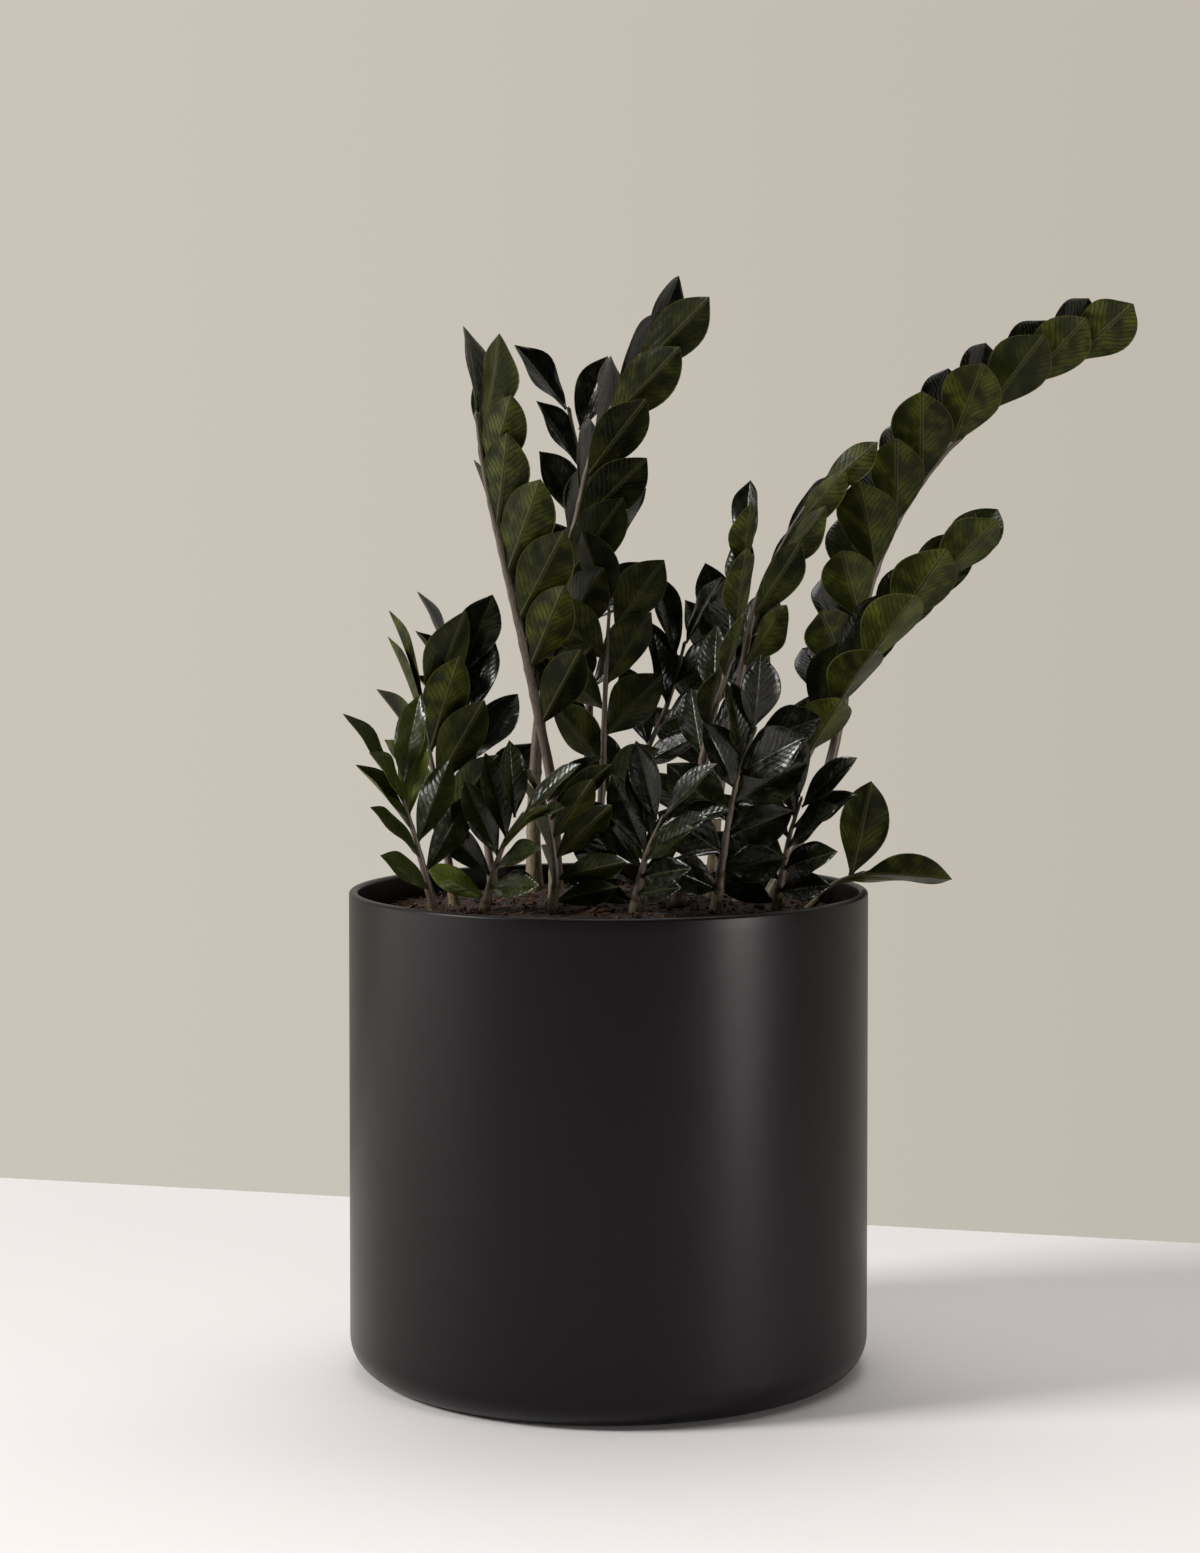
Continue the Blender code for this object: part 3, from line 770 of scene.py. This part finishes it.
def chip_corners(dice, size):
    """A small broken flake: a squashed, skewed box of eight corners."""
    corners = []
    for x in (-1, 1):
        for y in (-1, 1):
            for z in (-1, 1):
                corners.append(Vector((x * size * dice.uniform(0.6, 1.3),
                                       y * size * dice.uniform(0.25, 0.6),
                                       z * size * dice.uniform(0.12, 0.35))))
    return corners


def add_chip(crumbs, dice):
    """Adds a flake of bark that lies tilted on the mix."""
    x, y = spot_on_mix(dice)
    is_small = dice.random() < 1.0 - BIG_CHIP_SHARE
    size = dice.uniform(0.8, 2.0) if is_small else dice.uniform(2.0, 3.6)
    turn = Euler((dice.uniform(-CHIP_TILT, CHIP_TILT), dice.uniform(-CHIP_TILT, CHIP_TILT),
                  dice.uniform(0, 6.28)))
    tone = dice.random()
    start = len(crumbs.points)
    at = Vector((x, y, lumpy(x, y) + size * 0.18))
    for corner in chip_corners(dice, size):
        corner.rotate(turn)
        crumbs.points.append(tuple((corner + at) * MM))
        crumbs.tones.append(tone)
    crumbs.faces.extend(tuple(start + i for i in face) for face in CHIP_FACES)


def add_fibre(crumbs, dice):
    """Adds a strand of coir that wanders over the mix."""
    x, y = spot_on_mix(dice)
    heading, bend = dice.uniform(0, 6.28), dice.uniform(-0.35, 0.35)
    step, thick = dice.uniform(1.0, 2.6), dice.uniform(0.12, 0.28)
    tone = dice.uniform(0.5, 1.0)
    start = len(crumbs.points)
    for i in range(FIBRE_STEPS + 1):
        rise = 0.5 + 1.6 * math.sin(math.pi * i / FIBRE_STEPS) * dice.uniform(0.4, 1.0)
        centre = Vector((x, y, lumpy(x, y) + rise))
        across = Vector((-math.sin(heading), math.cos(heading), 0.0)) * thick
        up = Vector((0.0, 0.0, thick))
        for spoke in (across, up, -across, -up):
            crumbs.points.append(tuple((centre + spoke) * MM))
            crumbs.tones.append(tone)
        x += step * math.cos(heading)
        y += step * math.sin(heading)
        if math.hypot(x, y) > mix_radius() - MIX_EDGE / 2:
            x, y = x * 0.96, y * 0.96
        heading += bend
    last = start + FIBRE_STEPS * FIBRE_SIDES
    crumbs.faces.extend(tube_faces(start, FIBRE_STEPS + 1, FIBRE_SIDES))
    crumbs.faces.append(tuple(reversed(range(start, start + FIBRE_SIDES))))
    crumbs.faces.append(tuple(range(last, last + FIBRE_SIDES)))


def crumb_mesh():
    """Bark chips and coir fibres that lie on the mix."""
    dice = random.Random(CRUMB_SEED)
    crumbs = Crumbs([], [], [])
    for _ in range(CHIP_COUNT):
        add_chip(crumbs, dice)
    for _ in range(FIBRE_COUNT):
        add_fibre(crumbs, dice)
    mesh = bpy.data.meshes.new("mix_crumbs")
    mesh.from_pydata(crumbs.points, [], crumbs.faces)
    keep_measure(mesh, "tone", crumbs.tones)
    mesh.update()
    return mesh


# ---------------------------------------------------------------- finishes

SMOOTH = {"interpolation_type": "SMOOTHSTEP"}
# A Mix node's two colours are its inputs 6 and 7, and its mixed colour is output 2.
BLEND = {"data_type": "RGBA", "output": 2}


def srgb(code):
    """Linear colour of an sRGB hex value."""
    channels = [int(code[i:i + 2], 16) / 255 for i in (1, 3, 5)]
    linear = [c / 12.92 if c <= 0.04045 else ((c + 0.055) / 1.055) ** 2.4 for c in channels]
    return (*linear, 1.0)


def connect(tree, node, inputs):
    """Sets a node's inputs to values, or links them to other nodes' outputs."""
    for socket, value in inputs.items():
        if isinstance(value, bpy.types.NodeSocket):
            tree.links.new(value, node.inputs[socket])
        else:
            node.inputs[socket].default_value = value


def add(tree, kind, inputs, output=0, **settings):
    """Adds a node with its settings and inputs, and gives one of its outputs."""
    node = tree.nodes.new(f"ShaderNode{kind}")
    for name, value in settings.items():
        setattr(node, name, value)
    connect(tree, node, inputs)
    return node.outputs[output]


def coats(tree, colour, at, rows):
    """Lays tints over a colour in turn, each where its pattern runs from its start to its full.

    A row gives the pattern's name, its start, its full, the tint's strength there, and the tint.
    """
    for name, start, full, strength, tint in rows:
        share = add(tree, "MapRange", {"Value": at[name], "From Min": start, "From Max": full,
                                       "To Max": strength}, **SMOOTH)
        over = srgb(tint) if isinstance(tint, str) else tint
        colour = add(tree, "Mix", {0: share, 6: colour, 7: over}, **BLEND)
    return colour


def relief(tree, at, heights, unit, strength):
    """Fine raised detail: the sum of patterns, each by its height in units of so many mm."""
    total = 0.0
    for name, height in heights:
        total = add(tree, "Math", {0: at[name], 1: height, 2: total}, operation="MULTIPLY_ADD")
    return add(tree, "Bump", {"Strength": strength, "Distance": unit * MM, "Height": total})


def new_material(name):
    """A material with its node tree and its shader."""
    material = bpy.data.materials.new(name)
    material.use_nodes = True
    return material, material.node_tree, material.node_tree.nodes["Principled BSDF"]


def vein_lines(tree, blade, wander):
    """Distances in mm from the midrib and from the slanting side veins, broad and fine."""
    across, along, _ = add(tree, "SeparateXYZ", {0: blade}).node.outputs
    from_rib = add(tree, "Math", {0: across}, operation="ABSOLUTE")
    slant = add(tree, "Math", {0: from_rib, 1: VEIN_SLANT, 2: along}, operation="MULTIPLY_ADD")
    broad = add(tree, "Math", {0: wander, 1: slant}, operation="ADD")
    fine = add(tree, "Math", {0: wander, 1: 0.4, 2: slant}, operation="MULTIPLY_ADD")
    return {
        "from_rib": from_rib,
        "veins": add(tree, "Math", {0: broad, 1: SIDE_VEIN_SPACING / 2}, operation="PINGPONG"),
        "fine_veins": add(tree, "Math", {0: fine, 1: FINE_VEIN_SPACING / 2}, operation="PINGPONG"),
    }


def blade_patterns(tree):
    """Patterns drawn in a blade's own millimetres, so they keep their size on every leaflet."""
    blade = add(tree, "Attribute", {}, "Vector", attribute_name="blade")
    # Wrinkles in the cuticle, 4.2 mm apart across a leaflet and drawn out to 18 mm along it
    drawn = add(tree, "Mapping", {"Vector": blade, "Scale": (1 / 4.2, 1 / 18, 1.0)})
    at = {name: add(tree, "Attribute", {}, "Fac", attribute_name=name)
          for name in ("tone", "youth", "margin")}
    for name, where, size, detail, rough in (
        ("bends", blade, 9.1, 3.0, 0.55),       # how side veins wander from straight
        ("mottle", blade, 7.1, 4.0, 0.55),      # cells of lighter and darker green
        ("patch", blade, 15.4, 2.0, 0.55),      # broad clouds of paler olive
        ("crinkle", drawn, 1.0, 2.0, 0.45),
        ("pores", blade, 0.385, 2.0, 0.55),     # coarser than real pores, or none would show
        ("scorch", blade, 8.3, 3.0, 0.5),
    ):
        at[name] = add(tree, "TexNoise", {"Vector": where, "Scale": 1 / size, "Detail": detail,
                                          "Roughness": rough})
    wander = add(tree, "Math", {0: at["bends"], 1: VEIN_WANDER}, operation="MULTIPLY")
    return {**at, **vein_lines(tree, blade, wander)}


def waxy_leaflet():
    """Upper side of a zz leaflet: thick waxy cuticle over near-black green, so it mirrors softly."""
    material, tree, shader = new_material("leaflet_waxy_upper")
    at = blade_patterns(tree)
    deep = add(tree, "Mix", {0: at["tone"], 6: srgb("#080906"), 7: srgb("#14160b")}, **BLEND)
    deep = coats(tree, deep, at, [("mottle", 0.42, 0.66, 1.0, "#1c1e0d")])
    lime = add(tree, "Mix", {0: at["tone"], 6: srgb("#46521a"), 7: srgb("#5f6b24")}, **BLEND)
    aged = add(tree, "Mix", {0: at["youth"], 6: deep, 7: lime}, **BLEND)
    colour = coats(tree, aged, at, [
        ("veins", 0.5, 0.0, 0.35, "#0b0c06"),
        ("from_rib", 0.7, 0.25, 0.45, "#3a4022"),
        # A thin pale line round the margin: painted highlight on the blade's edge
        ("margin", 0.965, 0.998, 0.5, "#4a4d2a"),
        ("scorch", 0.745, 0.80, 1.0, "#5e3818"),    # a few rust-brown spots of damage
    ])
    roughness = add(tree, "MapRange", {"Value": at["mottle"], "From Min": 0.3, "From Max": 0.75,
                                       "To Min": 0.20, "To Max": 0.33}, **SMOOTH)
    # The blade swells a little between its side veins
    at["quilt"] = add(tree, "MapRange", {"Value": at["veins"], "From Min": 0.0,
                                         "From Max": SIDE_VEIN_SPACING / 2}, **SMOOTH)
    heights = [("quilt", 0.9), ("crinkle", 7.0), ("mottle", 1.8), ("pores", 0.10)]
    connect(tree, shader, {"Base Color": colour, "Roughness": roughness, "IOR": 1.46,
                           "Specular IOR Level": 0.40,
                           "Normal": relief(tree, at, heights, 0.07, 1.0)})
    return material


def matte_leaflet():
    """Underside of a zz leaflet: duller and paler olive, with raised veins and a thin pale edge that is
    a painted highlight.
    """
    material, tree, shader = new_material("leaflet_matte_underside")
    at = blade_patterns(tree)
    # Pale clouds follow the tone, so fronds with painted shade get fewer of them
    clouding = add(tree, "MapRange", {"Value": at["tone"], "From Min": 0.0, "From Max": 0.7,
                                      "To Min": 0.30, "To Max": 0.90}, **SMOOTH)
    olive = add(tree, "Mix", {0: at["tone"], 6: srgb("#0b0d04"), 7: srgb("#24270d")}, **BLEND)
    olive = coats(tree, olive, at, [("patch", 0.38, 0.72, clouding, "#4f5419")])
    lime = add(tree, "Mix", {0: at["tone"], 6: srgb("#596228"), 7: srgb("#737d33")}, **BLEND)
    aged = add(tree, "Mix", {0: at["youth"], 6: olive, 7: lime}, **BLEND)
    colour = coats(tree, aged, at, [
        ("veins", 0.95, 0.0, 0.8, "#181a0a"),
        ("fine_veins", 0.16, 0.0, 0.20, "#1f2210"),
        ("from_rib", 1.7, 0.7, 0.45, "#5c5d38"),    # painted highlight on the flanks of the midrib
        ("from_rib", 0.65, 0.25, 0.75, "#17180b"),  # and painted shade along its crest
        # A thin pale line round the margin: painted highlight on the blade's edge
        ("margin", 0.94, 0.99, 0.7, "#61622f"),
        ("pores", 0.60, 0.72, 0.25, "#55572f"),
        ("scorch", 0.745, 0.80, 1.0, "#5e3818"),
    ])
    roughness = add(tree, "MapRange", {"Value": at["mottle"], "From Min": 0.3, "From Max": 0.75,
                                       "To Min": 0.32, "To Max": 0.42}, **SMOOTH)
    at["ridges"] = add(tree, "MapRange", {"Value": at["veins"], "From Min": 0.4,
                                          "From Max": 0.0}, **SMOOTH)
    heights = [("ridges", 1.0), ("pores", 0.25), ("crinkle", 5.0)]
    connect(tree, shader, {"Base Color": colour, "Roughness": roughness, "IOR": 1.45,
                           "Specular IOR Level": 0.13,
                           "Normal": relief(tree, at, heights, 0.14, 0.9)})
    return material


def stem_skin():
    """Skin of a zz stem: smooth taupe with dark dashes, greener above and beige in its old sheath."""
    material, tree, shader = new_material("stem_speckled_skin")
    place = add(tree, "TexCoord", {}, "Object")
    # Marks on a stem are drawn out along it, to about three times their width
    drawn = add(tree, "Mapping", {"Vector": place, "Scale": (1.0, 1.0, 0.34)})
    above = add(tree, "Attribute", {}, "Fac", attribute_name="above_sheath")
    at = {
        "tip": add(tree, "Attribute", {}, "Fac", attribute_name="tip"),
        "above": above,
        "ring": add(tree, "Math", {0: above}, operation="ABSOLUTE"),
    }
    for name, where, size, detail in (
        ("cloud", place, 16.7, 3.0),
        ("green_cloud", place, 11.1, 3.0),
        ("sheath_cloud", drawn, 8.33, 3.0),
        ("dashes", drawn, 1.613, 2.0),
        ("flecks", drawn, 4.35, 1.0),
        ("grain", drawn, 2.0, 3.0),
    ):
        at[name] = add(tree, "TexNoise", {"Vector": where, "Scale": 1 / (size * MM),
                                          "Detail": detail, "Roughness": 0.55})
    taupe = add(tree, "Mix", {0: at["cloud"], 6: srgb("#55473b"), 7: srgb("#6f6154")}, **BLEND)
    green = add(tree, "Mix", {0: at["green_cloud"], 6: srgb("#3f3c28"), 7: srgb("#535034")}, **BLEND)
    beige = add(tree, "Mix", {0: at["sheath_cloud"], 6: srgb("#6f6448"), 7: srgb("#8d8062")}, **BLEND)
    colour = coats(tree, taupe, at, [
        ("tip", 0.35, 1.0, 0.75, green),
        ("above", 1.0, -2.0, 1.0, beige),
        ("dashes", 0.56, 0.64, 0.62, "#3a2e26"),
        ("flecks", 0.62, 0.70, 0.45, "#41342b"),
        ("ring", 1.5, 0.3, 0.7, "#4b3a28"),
    ])
    connect(tree, shader, {"Base Color": colour, "Roughness": 0.44,
                           "Normal": relief(tree, at, [("grain", 1.0)], 0.12, 0.7)})
    return material


def coir_mix():
    """Moist peat and coir: crumbly red-brown, darker where it is wet, and no shine."""
    material, tree, shader = new_material("mix_peat_and_coir")
    place = add(tree, "TexCoord", {}, "Object")
    cell_scale = 1 / (2.38 * MM)
    at = {"cells": add(tree, "TexVoronoi", {"Vector": place, "Scale": cell_scale}, "Distance")}
    for name, size, detail, rough in (
        ("cloud", 6.25, 5.0, 0.7),
        ("pale", 2.08, 2.0, 0.55),
        ("crumble", 2.63, 5.0, 0.7),
    ):
        at[name] = add(tree, "TexNoise", {"Vector": place, "Scale": 1 / (size * MM),
                                          "Detail": detail, "Roughness": rough})
    brown = add(tree, "Mix", {0: at["cloud"], 6: srgb("#140b07"), 7: srgb("#3a2115")}, **BLEND)
    colour = coats(tree, brown, at, [
        ("cells", 0.1, 0.6, 1.0, "#2a1810"),
        ("pale", 0.64, 0.72, 0.5, "#7d5c42"),
    ])
    heights = [("crumble", 1.0), ("cells", 1.0)]
    connect(tree, shader, {"Base Color": colour, "Roughness": 0.93,
                           "Normal": relief(tree, at, heights, 1.2, 1.0)})
    return material


def bark_crumbs():
    """Dry bark flakes and coir strands: rough, each piece its own brown."""
    material, tree, shader = new_material("crumbs_bark_and_coir")
    place = add(tree, "TexCoord", {}, "Object")
    at = {"tone": add(tree, "Attribute", {}, "Fac", attribute_name="tone")}
    for name, size in (("stain", 1.11), ("grain", 0.714)):
        at[name] = add(tree, "TexNoise", {"Vector": place, "Scale": 1 / (size * MM),
                                          "Detail": 3.0, "Roughness": 0.55})
    brown = coats(tree, srgb("#1d100a"), at, [("tone", 0.1, 0.95, 1.0, "#5e3b27")])
    stain = add(tree, "Math", {0: at["stain"], 1: 0.6}, operation="MULTIPLY")
    colour = add(tree, "Mix", {0: stain, 6: brown, 7: srgb("#2b1b12")}, **BLEND)
    connect(tree, shader, {"Base Color": colour, "Roughness": 0.9,
                           "Normal": relief(tree, at, [("grain", 1.0)], 0.3, 0.8)})
    return material


def satin_fibreglass():
    """Satin black gelcoat over moulded fibreglass: broad soft highlights with a hint of orange peel."""
    material, tree, shader = new_material("planter_satin_black_gelcoat")
    place = add(tree, "TexCoord", {}, "Object")
    at = {}
    for name, size, detail in (
        ("cloud", 111.0, 3.0),
        ("dust", 0.667, 2.0),
        ("peel", 6.25, 2.0),    # coarser than real orange peel, which wouldn't show
        ("fine_peel", 1.43, 2.0),
    ):
        at[name] = add(tree, "TexNoise", {"Vector": place, "Scale": 1 / (size * MM),
                                          "Detail": detail, "Roughness": 0.55})
    black = add(tree, "Mix", {0: at["cloud"], 6: srgb("#0b0708"), 7: srgb("#0d090a")}, **BLEND)
    colour = coats(tree, black, at, [("dust", 0.66, 0.74, 0.10, "#5a5654")])
    roughness = add(tree, "MapRange", {"Value": at["cloud"], "From Min": 0.3, "From Max": 0.7,
                                       "To Min": 0.33, "To Max": 0.38}, **SMOOTH)
    heights = [("peel", 1.0), ("fine_peel", 0.35)]
    connect(tree, shader, {"Base Color": colour, "Roughness": roughness, "IOR": 1.5,
                           "Specular IOR Level": 0.20,
                           "Normal": relief(tree, at, heights, 0.08, 0.5)})
    return material


def studio_floor():
    """Matt off-white paint on board: nearly even, with no shine."""
    material, tree, shader = new_material("floor_matt_paint")
    place = add(tree, "TexCoord", {}, "Object")
    cloud = add(tree, "TexNoise", {"Vector": place, "Scale": 1 / (333 * MM), "Detail": 3.0,
                                   "Roughness": 0.55})
    colour = add(tree, "Mix", {0: cloud, 6: srgb("#efecec"), 7: srgb("#f1eeee")}, **BLEND)
    connect(tree, shader, {"Base Color": colour, "Roughness": 0.8})
    return material


# ---------------------------------------------------------------- pieces

def add_piece(name, mesh, materials, node):
    """Adds a finished piece that rides on the plant's one body and stands for a CAD node."""
    obj = bpy.data.objects.new(name, mesh)
    bpy.context.scene.collection.objects.link(obj)
    for material in materials:
        mesh.materials.append(material)
    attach(obj, "root")
    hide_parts(node)


def build_frond(stem, layout, skin, blade_finishes):
    """A frond's stem, its joined leaflets as one piece, and each end leaflet as its own."""
    name = stem.frond.name
    dice = random.Random(stem.frond.seed + LOOK_SEED)
    shares = [place["share"] for place in places(stem.frond)]
    add_piece(f"stem_{name}", skin_mesh(stem, shares), [skin], name)
    joined = layout.joined[name]
    looks = [leaf_look(name, dice) for _ in joined]
    leaflets = blades_mesh(f"leaflets_{name}", joined, looks)
    add_piece(f"leaflets_{name}", leaflets, blade_finishes, name)
    for number, leaf in enumerate(reversed(layout.loose[name]), 1):
        piece = f"end_leaflet_{name}_{number}"
        leaflet = blades_mesh(piece, [leaf], [leaf_look(name, dice)])
        add_piece(piece, leaflet, blade_finishes, f"{name}_leaf_{number}")


def build_plant(nodes):
    """Every frond, grown clear of the CAD planter and mix as its CAD model was."""
    vessels = [mesh_tree(nodes[name].data) for name in ("pot", "potting_mix")]
    stems = [Stem(frond) for frond in FRONDS]
    stem_trees = {stem.frond.name: mesh_tree(tube_mesh("tube", stem.tube())) for stem in stems}
    layout = Layout(vessels, stem_trees)
    layout.grow_all(stems)
    skin = stem_skin()
    blade_finishes = [waxy_leaflet(), matte_leaflet()]
    for stem in stems:
        build_frond(stem, layout, skin, blade_finishes)


def build_vessel():
    """The planter, and the mix with the crumbs that lie on it."""
    add_piece("planter", pot_mesh(), [satin_fibreglass()], "pot")
    add_piece("mix_body", mix_mesh(), [coir_mix()], "potting_mix")
    add_piece("mix_crumbs", crumb_mesh(), [bark_crumbs()], "potting_mix")


# ---------------------------------------------------------------- studio, in metres

FLOOR_HALF_WIDTH = 3.0
FLOOR_FRONT = -4.0
FLOOR_BACK = 0.413
FLOOR_BACK_SLOPE = -0.257
FIELD_STRENGTH = 0.74
LENS = 72.2
SENSOR_WIDTH = 36.0
LENS_SHIFT = (-0.0055, -0.078)
CAMERA_PLACE = (0.0, -1.8, 0.475)
CAMERA_TILT = 88.0

# Power in watts, spread in degrees. Narrow spreads keep the two low boxes' light off the floor.
Softbox = namedtuple("Softbox", "name place aim size power colour spread")
SOFTBOXES = (
    Softbox("key_left", (-4.3, -1.3, 2.85), (0.0, 0.0, 0.35), (1.3, 1.3), 225.0, "#fffdfb", 180),
    Softbox("wall_left", (-2.1, -0.2, 0.23), (0.0, 0.0, 0.2), (2.2, 0.42), 3.7, "#fbf8f6", 120),
    Softbox("strip_right", (1.70, -1.12, 0.23), (0.0, 0.0, 0.15), (0.44, 0.36), 2.1, "#fdfbf8", 70),
    Softbox("top", (0.1, 1.0, 2.6), (0.0, 0.0, 0.2), (1.6, 1.2), 15.0, "#fcfbff", 180),
    Softbox("floor_grid", (0.15, -1.3, 2.3), (0.15, -0.95, 0.0), (1.8, 0.5), 3.0, "#fffbfa", 60),
)


def build_floor():
    """A pale floor that ends a little behind the planter, at a slight angle to the view."""
    corners = [(x, FLOOR_FRONT, 0.0) for x in (-FLOOR_HALF_WIDTH, FLOOR_HALF_WIDTH)]
    corners += [(x, FLOOR_BACK + FLOOR_BACK_SLOPE * x, 0.0)
                for x in (FLOOR_HALF_WIDTH, -FLOOR_HALF_WIDTH)]
    mesh = bpy.data.meshes.new("studio_floor")
    mesh.from_pydata(corners, [], [(0, 1, 2, 3)])
    mesh.materials.append(studio_floor())
    floor = bpy.data.objects.new("studio_floor", mesh)
    bpy.context.scene.collection.objects.link(floor)


def build_surroundings():
    """A warm grey wall as it is seen, and the pale back and dark front that light the plant."""
    world = bpy.data.worlds.new("studio")
    bpy.context.scene.world = world
    world.use_nodes = True
    tree = world.node_tree
    around = add(tree, "TexCoord", {}, "Generated")
    at = dict(zip("xyz", add(tree, "SeparateXYZ", {0: around}).node.outputs))
    wall = coats(tree, srgb("#cbc5ba"), at, [("x", -0.25, 0.3, 1.0, "#bfb8ac")])
    field = coats(tree, srgb("#cdc5ba"), at, [
        ("z", 0.15, 0.6, 1.0, "#fffaf2"),
        ("y", 0.22, -0.08, 1.0, "#1b191a"),
    ])
    seen = tree.nodes["Background"]
    connect(tree, seen, {"Color": wall})
    felt = add(tree, "Background", {"Color": field, "Strength": FIELD_STRENGTH})
    is_seen = add(tree, "LightPath", {}, "Is Camera Ray")
    both = add(tree, "MixShader", {0: is_seen, 1: felt, 2: seen.outputs[0]})
    connect(tree, tree.nodes["World Output"], {"Surface": both})


def add_softbox(box):
    """An even rectangular light that faces its aim."""
    light = bpy.data.lights.new(box.name, "AREA")
    light.shape = "RECTANGLE"
    light.size, light.size_y = box.size
    light.energy = box.power
    light.color = srgb(box.colour)[:3]
    light.spread = math.radians(box.spread)
    obj = bpy.data.objects.new(box.name, light)
    obj.location = box.place
    facing = Vector(box.aim) - Vector(box.place)
    obj.rotation_euler = facing.to_track_quat("-Z", "Y").to_euler()
    bpy.context.scene.collection.objects.link(obj)


def build_camera():
    """A camera a little above the planter's rim, looking slightly down."""
    camera = bpy.data.cameras.new("camera")
    camera.lens = LENS
    camera.sensor_width = SENSOR_WIDTH
    camera.shift_x, camera.shift_y = LENS_SHIFT
    obj = bpy.data.objects.new("camera", camera)
    obj.location = CAMERA_PLACE
    obj.rotation_euler = (math.radians(CAMERA_TILT), 0.0, 0.0)
    bpy.context.scene.collection.objects.link(obj)
    bpy.context.scene.camera = obj


def main():
    """Builds the plant on its frame and sets up the studio round it."""
    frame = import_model()
    build_vessel()
    build_plant(frame["nodes"])
    build_floor()
    build_surroundings()
    for box in SOFTBOXES:
        add_softbox(box)
    build_camera()
    bpy.context.scene.view_settings.view_transform = "Standard"


main()
